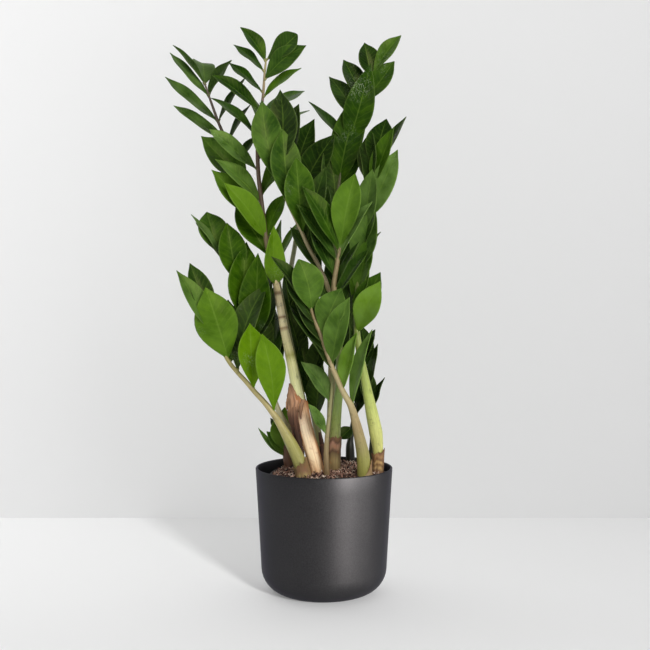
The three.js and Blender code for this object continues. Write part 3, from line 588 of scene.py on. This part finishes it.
FRONDS["frond_right_low"] = {"stem": [
    [60, 158, -32, 5], [64, 200, -32, 4.2], [64, 235, -32, 3.6], [57, 272, -32, 3.2], [49, 306, -32, 2.8],
    [43, 340, -32, 2.2], [39, 365, -32, 1.6],
], "tints": [
    [155, 50, 50, 30], [365, 60, 74, 36],
], "leaflets": [
    [236, 79, 283, 4, 18, 62, 0.05], [240, 46, 300, 4, 30, 35, 0.05], [262, 63, 290, -8, 18, 55, 0.1],
    [268, 70, 327, 4, 26, 56, 0.15], [290, 49, 352, 8, 26, 48, 0.1], [300, 66, 346, 2, 24, 56, 0.15],
    [325, 20, 376, 18, 30, 32, 0.1], [335, 46, 410, -4, 32, 40, 0.15], [360, 26, 430, 10, 32, 36, 0.15],
]}
FRONDS["frond_back_small"] = {"stem": [
    [35, 162, -50, 6.6], [34, 190, -51, 6], [35, 204, -52, 4], [40, 236, -52, 2.6], [43, 250, -52, 1.8],
], "tints": [
    [155, 22, 20, 16], [250, 34, 44, 22],
], "leaflets": [
    [218, 20, 202, 6, 20, 25, 0.05], [228, 56, 262, 0, 20, 50, 0.05], [246, 40, 288, 0, 22, 40, 0.1],
]}


def place(x, z, near):
    """The point seen at x, z from EYE that lies near millimetres in front of the pot's axis."""
    line = (AIM - EYE).normalized()
    up = Vector((0, -line.z, line.y))
    seen = AIM + up * (z - AIM.z)
    seen.x = x
    return EYE.lerp(seen, (-near - EYE.y) / (seen.y - EYE.y))


def mark_below(share, count):
    """Which of a row of marks lies below a share of its length, and how far on towards the next."""
    along = min(max(share, 0), 1) * (count - 1)
    i = min(int(along), count - 2)
    return i, along - i


class Stem:
    """A stem's centre line through its rows, with its radius, from its buried foot at 0 to its tip at 1."""

    def __init__(self, rows):
        points = [place(x, z, near) for x, z, near, _ in rows]
        foot = points[0].lerp(points[1], (BURIED - points[0].z) / (points[1].z - points[0].z))
        self.points = [foot] + points
        self.radii = [rows[0][3]] + [row[3] for row in rows]
        self.heights = [row[1] for row in rows]

    def centre(self, share):
        i, t = mark_below(share, len(self.points))
        a, b = self.points[i], self.points[i + 1]
        before = self.points[i - 1] if i > 0 else 2 * a - b
        after = self.points[i + 2] if i + 2 < len(self.points) else 2 * b - a
        start, end = (b - before) / 2, (after - a) / 2
        return a + start * t + (3 * (b - a) - 2 * start - end) * t ** 2 + (2 * (a - b) + start + end) * t ** 3

    def across(self, share):
        """The directions across the stem: to the right, and to the front."""
        along = self.centre(min(1, share + 0.002)) - self.centre(max(0, share - 0.002))
        right = Vector((0, 1, 0)).cross(along).normalized()
        return right, right.cross(along).normalized()

    def radius(self, share):
        i, t = mark_below(share, len(self.radii))
        return self.radii[i] + (self.radii[i + 1] - self.radii[i]) * t

    def share_at(self, z):
        i = min(max(sum(height <= z for height in self.heights) - 1, 0), len(self.heights) - 2)
        return (i + 1 + (z - self.heights[i]) / (self.heights[i + 1] - self.heights[i])) / len(self.heights)

    def length(self):
        marks = [self.centre(i / 60) for i in range(61)]
        return sum((b - a).length for a, b in zip(marks, marks[1:]))

    def skin(self, share, angle, radius, laid_radius):
        """A point at a radius round the stem, and its place where the skin is laid straight."""
        right, front = self.across(share)
        laid = Vector((math.sin(angle), -math.cos(angle), 0)) * laid_radius
        laid.z = share * self.length()
        return self.centre(share) + (right * math.sin(angle) + front * math.cos(angle)) * radius, laid * MM


def between(start, end, part):
    """The colour part of the way from one to another."""
    return [a + (b - a) * part for a, b in zip(start, end)]


def tint_at(tints, z):
    """The colour at a height, blended between the rows of tints on either side."""
    if z <= tints[0][0]:
        return linear(*tints[0][1:])
    for (low, *below), (high, *above) in zip(tints, tints[1:]):
        if z <= high:
            return between(linear(*below), linear(*above), (z - low) / (high - low))
    return linear(*tints[-1][1:])


def skin_mesh():
    """An empty mesh whose points carry their place laid straight and their tint."""
    bm = bmesh.new()
    return bm, bm.verts.layers.float_vector.new("straight"), bm.verts.layers.float_color.new("tint")


def wrapped(bm, sides, steps, where_is):
    """A sheet rolled into a tube: where_is(angle, part) gives a point, its place laid straight, its tint."""
    sheet = bmesh.ops.create_grid(bm, x_segments=sides, y_segments=steps, size=0.5)["verts"]
    straight = bm.verts.layers.float_vector["straight"]
    tint = bm.verts.layers.float_color["tint"]
    for v in sheet:
        angle = 2 * math.pi * v.co.x
        point, v[straight], v[tint] = where_is(angle, v.co.y + 0.5)
        v.co = point * MM
    bmesh.ops.remove_doubles(bm, verts=sheet, dist=1e-6)


STALK = {"sides": 14, "step": 2.5, "joint": 3.2, "joint_sides": 8, "joint_foot": 1.9, "joint_tip": 1.1}


def stalk(stem, tints, leaflets):
    """A stem as a closed bar with a swollen joint under each leaflet."""
    bm, straight, tint = skin_mesh()
    steps = round(stem.length() / STALK["step"])

    def bar(angle, part):
        row = part * (steps + 2)
        share = min(max((row - 1) / steps, 0), 1)
        end = row < 0.5 or row > steps + 1.5
        ripple = 1 + 0.05 * noise.noise(Vector((2 * math.cos(angle), 2 * math.sin(angle), share * 9)))
        radius = 0 if end else stem.radius(share) * ripple
        point, laid = stem.skin(share, angle, radius, stem.radius(share))
        return point, laid, tint_at(tints, stem.centre(share).z)

    wrapped(bm, STALK["sides"], steps + 2, bar)
    for joint_height, tip_x, tip_z, tip_nearer, *_ in leaflets:
        share = stem.share_at(joint_height)
        joint = stem.centre(share)
        tip = place(tip_x, tip_z, tip_nearer - joint.y)
        reach = stem.radius(share) + STALK["joint"]
        turn = (tip - joint).to_track_quat("Z", "Y").to_matrix().to_4x4()
        knuckle = bmesh.ops.create_cone(
            bm, cap_ends=True, segments=STALK["joint_sides"],
            radius1=(STALK["joint_foot"] + 0.1 * stem.radius(share)) * MM,
            radius2=STALK["joint_tip"] * MM, depth=reach * MM,
            matrix=Matrix.Translation((joint + (tip - joint).normalized() * reach / 2) * MM) @ turn)["verts"]
        pale = between(tint_at(tints, joint.z), linear(120, 140, 60), 0.4)
        for v in knuckle:
            v[straight] = v.co.copy()
            v[tint] = pale
    bmesh.ops.recalc_face_normals(bm, faces=bm.faces)
    return bm


LEAF = {"arch": 0.045, "curl_from": 0.62, "thickness": 0.9, "stalk_half": 1.1, "across": 8, "along": 20}


def half_width(share, width, widest, pointed):
    """Half a leaflet's width at a share of its length: a short stalk, a full blade and a drawn-out tip."""
    along = min(max((share - 0.03) / 0.97, 0), 1) ** (math.log(0.5) / math.log(widest))
    blade = (width / 2) * math.sin(math.pi * along) ** pointed
    drawn = 1 - 0.25 * min(max((share - 0.84) / 0.12, 0), 1)
    return max(LEAF["stalk_half"] * min(1, 6 * (1 - share)), blade * drawn)


def blades(stem, leaflets, chance):
    """A frond's leaflets as thin sheets, each folded along its midrib, arched and a little wavy."""
    bm = bmesh.new()
    spot = bm.verts.layers.float_vector.new("leaf_place")
    bloom = bm.verts.layers.float.new("bloom")
    for joint_height, tip_x, tip_z, tip_nearer, width, tilt, tone, *plain in leaflets:
        joint = stem.centre(stem.share_at(joint_height))
        tip = place(tip_x, tip_z, tip_nearer - joint.y)
        length = (tip - joint).length
        along = (tip - joint).normalized()
        look = EYE - joint
        look = (look - along * look.dot(along)).normalized()
        inward = along.cross(look) * (1 if along.x < 0 else -1)
        turn = math.radians(tilt)
        face = look * math.cos(turn) + inward * math.sin(turn)
        across = along.cross(face)
        form = {
            "bend": chance.uniform(-0.03, 0.03), "curl": 0.01, "fold": chance.uniform(0.2, 0.55),
            "twist": chance.uniform(-0.3, 0.3), "widest": chance.uniform(0.45, 0.56),
            "pointed": chance.uniform(0.8, 1.0), "bloom": chance.uniform(0, 0.14),
        } | (plain[0] if plain else {})
        wave, phase = chance.uniform(0.3, 1.1), chance.uniform(0, 6.28)
        droop = chance.uniform(0.0, 0.03)
        tone = min(max(tone + chance.uniform(-0.05, 0.05), 0), 1)
        rolls = 1 - LEAF["curl_from"]
        visible = LEAF["curl_from"] + rolls * math.sin(min(form["curl"], math.pi / 2)) / form["curl"]
        grid = bmesh.ops.create_grid(bm, x_segments=LEAF["across"], y_segments=LEAF["along"], size=0.5)
        blade = grid["verts"]
        for v in blade:
            side = math.sin(math.pi * v.co.x)
            share = 0.5 - 0.5 * math.cos(math.pi * (v.co.y + 0.5))
            half = half_width(share, width, form["widest"], form["pointed"]) if share < 0.999 else 0
            valley = form["fold"] * half * (math.sqrt(side ** 2 + 0.01) - 0.1)
            lift = LEAF["arch"] * math.cos(turn) ** 2 * math.sin(math.pi * share) - droop * share ** 4
            arch = lift * length
            ripple = wave * side ** 2 * math.sin(11 * share + phase + (0 if side > 0 else 1.7))
            sway = form["bend"] * length * math.sin(math.pi * share)
            rolled = form["twist"] * share * side * half
            roll = form["curl"] * max(0, share - LEAF["curl_from"]) / rolls
            reach = min(share, LEAF["curl_from"]) + rolls * math.sin(roll) / form["curl"]
            back = rolls * (1 - math.cos(roll)) / form["curl"]
            point = joint + along * (reach / visible * length) + across * (side * half + sway)
            point += face * (arch + valley + ripple * min(1, half / 6) + rolled - back * length)
            v[spot] = (side if half else 0, share, tone)
            v[bloom] = form["bloom"]
            v.co = point * MM
        bmesh.ops.remove_doubles(bm, verts=blade, dist=1e-6)
    return bm


def blend(tree, mask, base, over):
    """One colour with another over it, as far as the mask shows it."""
    return node(tree, "Mix", {0: mask, 6: base, 7: over}, data_type="RGBA").outputs[2]


def layered(tree, colour, *layers):
    """A colour with layers over it, each a mask, its strength and a colour."""
    for mask, strength, over in layers:
        colour = blend(tree, reckon(tree, "MULTIPLY", mask, strength), colour, linear(*over))
    return colour


# Long streaks on a stalk or husk, read where it lies straight: fine fibres and broader blotches.
fibres, given, result = pattern("long_fibres", ["Fineness", "Stretch"], ["Fibres", "Blotches"])
laid = node(fibres, "Attribute", attribute_name="straight").outputs["Vector"]
drawn = node(fibres, "CombineXYZ", {0: 1.0, 1: 1.0, 2: given.outputs["Stretch"]}).outputs["Vector"]
stretched = node(fibres, "VectorMath", {0: laid, 1: drawn}, operation="MULTIPLY").outputs["Vector"]
fill(fibres, result, {
    "Fibres": cloud(fibres, stretched, given.outputs["Fineness"], Detail=4.0, Roughness=0.65),
    "Blotches": cloud(fibres, laid, 160.0, Detail=3.0),
})


def fibrous(name, grain, light, flecks, fleck_colour, relief, roughness):
    """A skin in a piece's own tints, with light and dark fibres along it, and blotches."""
    made, tree, shader = finish(name)
    streaks = node(tree, "Group", grain, node_tree=fibres).outputs
    tint = node(tree, "Attribute", attribute_name="tint").outputs["Color"]
    lined = scaled(tree, tint, eased(tree, streaks["Fibres"], 0.3, 0.7, *light))
    fleck = eased(tree, streaks["Blotches"], *flecks)
    fill(tree, shader, {
        "Base Color": blend(tree, fleck, lined, linear(*fleck_colour)),
        "Roughness": roughness,
        "Normal": bumps(tree, streaks["Fibres"], *relief),
    })
    return made


stalk_skin = fibrous("stalk_skin", {"Fineness": 700, "Stretch": 0.08}, light=(0.8, 1.15),
                     flecks=(0.58, 0.7, 0.0, 0.35), fleck_colour=(70, 66, 36), relief=(0.25, 0.0006),
                     roughness=0.42)

# The drawing of a leaflet, read from its place across and along the blade: midrib, side veins, margin
# and slanting bands, with the leaflet's tone.
drawing, given, result = pattern("leaf_drawing", [], ["Midrib", "Veins", "Margin", "Tone", "Bands"])
spot = node(drawing, "Attribute", attribute_name="leaf_place").outputs["Vector"]
parts = node(drawing, "SeparateXYZ", {"Vector": spot}).outputs
out = reckon(drawing, "ABSOLUTE", parts["X"])
slant = reckon(drawing, "MULTIPLY_ADD", out, -0.16, parts["Y"])
uneven = reckon(drawing, "MULTIPLY_ADD", cloud(drawing, spot, 3.0), 0.06, slant)
swing = reckon(drawing, "SINE", reckon(drawing, "MULTIPLY", uneven, 75.0))
apart = reckon(drawing, "MULTIPLY", parts["Z"], 40.0)
drawn = reckon(drawing, "MULTIPLY", slant, 7.0)
strip = node(drawing, "CombineXYZ", {0: parts["X"], 1: drawn, 2: apart}).outputs["Vector"]
fill(drawing, result, {
    "Midrib": eased(drawing, out, 0.0, 0.075, 1.0, 0.0, interpolation_type="SMOOTHSTEP"),
    "Veins": eased(drawing, swing, 0.55, 1.0, 0.0, 1.0),
    "Margin": eased(drawing, out, 0.86, 1.0, 0.0, 1.0, interpolation_type="SMOOTHSTEP"),
    "Tone": parts["Z"],
    "Bands": cloud(drawing, strip, 1.6, Detail=3.0),
})

leaf_upper, tree, shader = finish("leaf_upper")
lines = node(tree, "Group", node_tree=drawing).outputs
where = node(tree, "TexCoord").outputs["Object"]
clouds = cloud(tree, where, 45.0, Detail=4.0)
varied = reckon(tree, "MULTIPLY_ADD", clouds, 0.5, -0.4)
banded = reckon(tree, "MULTIPLY_ADD", lines["Bands"], 0.3, varied)
# The greens follow each leaflet's tone, which holds painted light and shade as well as its age.
greens = ramp(tree, reckon(tree, "ADD", lines["Tone"], banded), (0, linear(9, 27, 6)),
              (0.3, linear(25, 56, 4)), (0.6, linear(64, 98, 6)), (1, linear(98, 136, 4)))
bloom = node(tree, "Attribute", attribute_name="bloom").outputs["Fac"]
streaky = cloud(tree, where, 330.0, Detail=3.0, Roughness=0.7, Distortion=1.5)
few = eased(tree, cloud(tree, where, 18.0, Detail=2.0), 0.62, 0.72, 0.0, 0.18)
level = node(tree, "VectorMath", {0: where, 1: (1, 0, 1)}, operation="MULTIPLY").outputs["Vector"]
splash = node(tree, "VectorMath", {0: level, 1: (0.044, 0, 0.664)}, operation="DISTANCE").outputs["Value"]
marks = reckon(tree, "MAXIMUM", eased(tree, splash, 0.004, 0.024, 0.42, 0.0), few)
groove = reckon(tree, "MULTIPLY_ADD", lines["Midrib"], -1.4, lines["Veins"])
fill(tree, shader, {
    "Base Color": layered(
        tree, greens,
        # A painted sheen: a pale grey-green laid over some leaflets in patches, for the soft reflection of
        # the lights.
        (bloom, eased(tree, clouds, 0.3, 0.7, 0.3, 1.1), (118, 150, 80)),
        (lines["Midrib"], 0.26, (118, 148, 60)),
        (lines["Veins"], 0.1, (104, 136, 44)),
        (lines["Margin"], 0.13, (140, 168, 84)),
        (eased(tree, streaky, 0.52, 0.64, 0.0, 1.0), marks, (196, 208, 176)),
    ),
    "Roughness": eased(tree, clouds, 0.3, 0.7, 0.24, 0.42),
    "Specular IOR Level": 0.16,
    "Specular Tint": linear(232, 244, 150),
    "Normal": bumps(tree, groove, 0.2, 0.0003),
})

leaf_lower, tree, shader = finish("leaf_lower")
lines = node(tree, "Group", node_tree=drawing).outputs
where = node(tree, "TexCoord").outputs["Object"]
varied = reckon(tree, "MULTIPLY_ADD", cloud(tree, where, 60.0, Detail=3.0), 0.3, -0.15)
age = reckon(tree, "ADD", lines["Tone"], varied)
greens = ramp(tree, age, (0, linear(54, 82, 48)), (1, linear(140, 172, 84)))
ridge = reckon(tree, "MULTIPLY_ADD", lines["Midrib"], 2.0, lines["Veins"])
fill(tree, shader, {
    "Base Color": layered(tree, greens, (lines["Midrib"], 0.5, (150, 172, 110)),
                          (lines["Veins"], 0.2, (70, 104, 50))),
    "Roughness": 0.5,
    "Normal": bumps(tree, ridge, 0.4, 0.0005),
})


def thicken(made, name, thickness):
    """A sheet gets a thickness, half of it on either side."""
    layer = made.modifiers.new(name, "SOLIDIFY")
    layer.thickness = thickness * MM
    layer.offset = 0
    return layer


chance = random.Random(4)
stems = {}
for name, frond in FRONDS.items():
    stem = stems[name] = Stem(frond["stem"])
    stalk_piece = made_object(name + "_stalk", stalk(stem, frond["tints"], frond["leaflets"]), stalk_skin)
    leaves = made_object(name + "_leaflets", blades(stem, frond["leaflets"], chance), leaf_upper, leaf_lower)
    thicken(leaves, "flesh", LEAF["thickness"]).material_offset = 1
    for made in (stalk_piece, leaves):
        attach(made, "root")
        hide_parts(name)


# ---------- the dry leaf bases ----------
# Papery brown husks that the first scale leaves left round the foot of five stalks. They are thin and
# fibrous, and their upper edges are ragged. The largest has a tan sleeve, and a darker flap that has torn
# loose and hangs beside it.

SHEATHS = {
    "sheath_left_tall": {
        "stem": "frond_left_tall", "top": 268, "thickness": 1.8, "torn_side": 90, "torn": 18, "ragged": 2.6,
        "edge": (186, 122, 72),
        "tints": [[150, 236, 186, 132], [180, 255, 230, 188], [225, 255, 230, 196], [240, 240, 202, 164],
                  [250, 176, 132, 98], [268, 156, 114, 84]],
    },
    "sheath_left_low": {
        "stem": "frond_left_low", "top": 174, "thickness": 0.8, "torn_side": 262, "torn": 9, "ragged": 4,
        "edge": (138, 114, 74),
        "tints": [[150, 178, 160, 108], [161, 170, 150, 98], [166, 136, 100, 74], [176, 122, 94, 60]],
    },
    "sheath_centre_front": {
        "stem": "frond_centre_front", "top": 206, "thickness": 1.6, "torn_side": 200, "torn": 6,
        "ragged": 2.8, "edge": (92, 72, 48),
        "tints": [[150, 150, 128, 92], [166, 128, 108, 66], [176, 140, 124, 80], [185, 112, 92, 58],
                  [189, 78, 52, 36], [193, 150, 114, 86], [199, 162, 120, 96], [202, 84, 58, 40],
                  [206, 122, 88, 60]],
    },
    "sheath_right": {
        "stem": "frond_right", "top": 188, "thickness": 1.5, "torn_side": 270, "torn": 6, "ragged": 2.6,
        "edge": (112, 78, 54),
        "tints": [[150, 150, 122, 96], [162, 144, 112, 84], [165, 222, 188, 124], [169, 124, 88, 58],
                  [173, 216, 180, 116], [176, 116, 80, 54], [181, 176, 138, 92], [188, 112, 76, 54]],
    },
    "sheath_front_right": {
        "stem": "frond_front_right", "top": 173, "thickness": 1.4, "torn_side": 270, "torn": 38,
        "ragged": 2.4, "edge": (160, 128, 88),
        "tints": [[150, 206, 192, 146], [165, 190, 166, 122], [173, 150, 112, 80]],
    },
}
SHEATH_FOOT = 146
SLEEVE = {"clearance": 0.6, "sheet": 0.7, "sides": 72, "steps": 30}

husk = fibrous("dry_husk", {"Fineness": 520, "Stretch": 0.06}, light=(0.86, 1.16),
               flecks=(0.55, 0.68, 0.0, 0.24), fleck_colour=(160, 96, 52), relief=(0.7, 0.0009),
               roughness=0.75)


def husk_sleeve(stem, top, thickness, torn_side, torn, ragged, edge, tints):
    """A creased sleeve round a stem's foot, with a ragged upper edge that slopes down to the torn side."""
    bm, *_ = skin_mesh()
    bottom = stem.share_at(SHEATH_FOOT)

    def paper(angle, part):
        around = Vector((math.cos(angle), math.sin(angle), 0))
        frays = noise.noise(around * 2.2) + noise.noise(around * 6) + 0.8 * noise.noise(around * 15)
        from_tear = 0.5 + 0.5 * math.cos(angle - math.radians(torn_side))
        upper = stem.share_at(top + ragged * frays - torn * from_tear)
        share = bottom + (upper - bottom) * part
        centre = stem.centre(share)
        crumple = noise.noise(around * 2.5 + Vector((0, 0, centre.z / 9)))
        crease = noise.noise(around * 5 + Vector((0, 0, centre.z / 60)))
        flare = 0.9 * max(0, part - 0.8) / 0.2 * (0.6 + crease)
        bulk = thickness * (0.4 + 0.25 * crumple + 0.3 * crease) + flare
        radius = stem.radius(share) + SLEEVE["clearance"] + bulk
        point, laid = stem.skin(share, angle, radius, radius)
        # The sleeve's flanks, as seen from the front, take the edge colour as painted shade, and its creases
        # turn brown.
        shaded_and_browned = min(1, abs(math.sin(angle)) ** 4 + max(0, 1.6 * crease))
        banded = centre.z + 5 * noise.noise(around * 1.6 + Vector((0, 0, part * 2))) + noise.noise(around * 9)
        return point, laid, between(tint_at(tints, banded), linear(*edge), shaded_and_browned)

    wrapped(bm, SLEEVE["sides"], SLEEVE["steps"], paper)
    return bm


for name, sheath in SHEATHS.items():
    shape = {key: value for key, value in sheath.items() if key != "stem"}
    sleeve = made_object(name + "_husk", husk_sleeve(stems[sheath["stem"]], **shape), husk)
    thicken(sleeve, "paper", SLEEVE["sheet"])
    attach(sleeve, "root")
    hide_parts(name)

# The torn strips of the largest husk, each with rows of x, z, near and half width. The first is the flap,
# and the rest are loose strands over it and on either side of the sleeve.
FLAP = {
    "strips": [
        [[-27, 172, 29, 1.5], [-31, 188, 31, 4], [-35, 206, 33, 5], [-39, 222, 35, 6], [-41, 236, 35, 6.5],
         [-38, 250, 34, 9.5], [-41, 262, 31, 6.5], [-45, 275, 27, 1]],
        [[-30, 178, 33, 0.6], [-34, 198, 35, 1.8], [-38, 222, 37, 2.4], [-39, 244, 37, 1.8]],
        [[-39, 202, 32, 0.5], [-42, 218, 33, 1.4], [-46, 234, 33, 1.9], [-46, 248, 32, 1.5]],
        [[-30, 228, 37, 0.5], [-31, 236, 37, 1.6], [-30, 246, 37, 2.6], [-27, 254, 35, 1.6]],
        [[-49, 240, 28, 0.5], [-48, 250, 29, 1.8], [-46, 260, 29, 2.2], [-43, 268, 29, 1.2]],
        [[-1, 160, 24, 2.5], [-2, 176, 24, 3.2], [-2, 190, 24, 3.4], [-4, 202, 23, 2.6], [-6, 211, 22, 1]],
    ],
    "curl": 0.3,
    "thickness": 1.0,
    "tints": [[172, 60, 38, 26], [215, 66, 40, 26], [234, 92, 60, 42], [247, 150, 112, 84],
              [262, 172, 132, 102], [275, 140, 100, 74]],
}
bm, straight, tint = skin_mesh()
for rows in FLAP["strips"]:
    spine = [place(x, z, near) for x, z, near, _ in rows]
    strip = bmesh.ops.create_grid(bm, x_segments=10, y_segments=40, size=0.5)["verts"]
    for v in strip:
        side, part = 2 * v.co.x, v.co.y + 0.5
        i, t = mark_below(part, len(spine))
        centre = spine[i].lerp(spine[i + 1], t)
        half = rows[i][3] + (rows[i + 1][3] - rows[i][3]) * t
        frayed = 1 + 0.3 * noise.noise(Vector((side, part * 14, rows[0][0])))
        centre += Vector((side * half * frayed, side * side * FLAP["curl"] * half, 0))
        centre.y += 1.6 * noise.noise(Vector((side * half / 3, part * 3, rows[0][0])))
        v[straight] = Vector((side * half + rows[0][0], 0, centre.z)) * MM
        worn = 0.9 + 0.9 * noise.noise(Vector((side * half * 0.9, centre.z / 30, rows[0][0])))
        v[tint] = [c * worn for c in tint_at(FLAP["tints"], centre.z)]
        v.co = centre * MM
flap = made_object("sheath_left_tall_flap", bm, husk)
thicken(flap, "paper", FLAP["thickness"])
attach(flap, "root")
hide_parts("sheath_left_tall")


# ---------- the chips on the peat ----------
# Loose curled shreds of bark, coir and peat, a few millimetres long, that lie on the peat round the
# stalks. Most are pinkish brown, and some are pale or nearly black.

# Shreds are thrown at random, and those that would lie in a stalk's foot are left out.
CHIPS = {"thrown": 3000, "length": (2.8, 7.5), "width": (0.7, 1.7), "thickness": 0.3, "foot_height": 162}

shreds, tree, shader = finish("bark_shreds")
own_tone = node(tree, "Attribute", attribute_name="chip_tone").outputs["Fac"]
grit = cloud(tree, node(tree, "TexCoord").outputs["Object"], 900.0, Detail=3.0)
mixed = reckon(tree, "ADD", own_tone, reckon(tree, "MULTIPLY_ADD", grit, 0.3, -0.15))
fill(tree, shader, {
    "Base Color": ramp(tree, mixed, (0, linear(24, 14, 11)), (0.3, linear(86, 58, 48)),
                       (0.6, linear(164, 122, 106)), (0.85, linear(212, 176, 156)),
                       (1, linear(250, 236, 220))),
    "Roughness": 0.85,
    "Normal": bumps(tree, grit, 0.5, 0.0003),
})

chance = random.Random(9)
feet = []
for stem in stems.values():
    share = stem.share_at(CHIPS["foot_height"])
    feet.append((stem.centre(share), stem.radius(share)))
bm = bmesh.new()
chip_tone = bm.verts.layers.float.new("chip_tone")
for _ in range(CHIPS["thrown"]):
    out = (SOIL_EDGE - 2) * math.sqrt(chance.random())
    round_it = chance.uniform(0, 2 * math.pi)
    x, y = out * math.cos(round_it), out * math.sin(round_it)
    length = chance.uniform(*CHIPS["length"])
    width = chance.uniform(*CHIPS["width"])
    curl = chance.uniform(-3.4, 3.4)
    turn = Matrix.Rotation(chance.uniform(0, 2 * math.pi), 4, "Z") @ Matrix.Rotation(
        chance.gauss(0, 0.5), 4, "Y") @ Matrix.Rotation(chance.gauss(0, 0.6), 4, "X")
    lift = chance.uniform(0.3, 2.4)
    tone = chance.random()
    at = Vector((x + NURSERY_PLACE[0], y, soil_height(x, y) + lift))
    if any(math.hypot(at.x - foot.x, at.y - foot.y) < radius + 0.4 * length for foot, radius in feet):
        continue
    chip = bmesh.ops.create_grid(bm, x_segments=5, y_segments=1, size=0.5)["verts"]
    for v in chip:
        bent = v.co.x * curl
        reach = length * math.sin(bent) / curl
        taper = 1 - 0.9 * abs(v.co.x) ** 2
        local = Vector((reach, v.co.y * width * taper, length * (1 - math.cos(bent)) / curl))
        v.co = (at + turn @ local) * MM
        v[chip_tone] = tone
chips = made_object("peat_chips", bm, shreds)
thicken(chips, "body", CHIPS["thickness"])
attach(chips, "root")
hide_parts("soil")


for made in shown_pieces():
    groups["pots" if made in (cover_pot, nursery_pot) else "plant"].objects.link(made)
for part in ("floor", "wall"):
    groups[part].objects.link(bpy.data.objects[part])
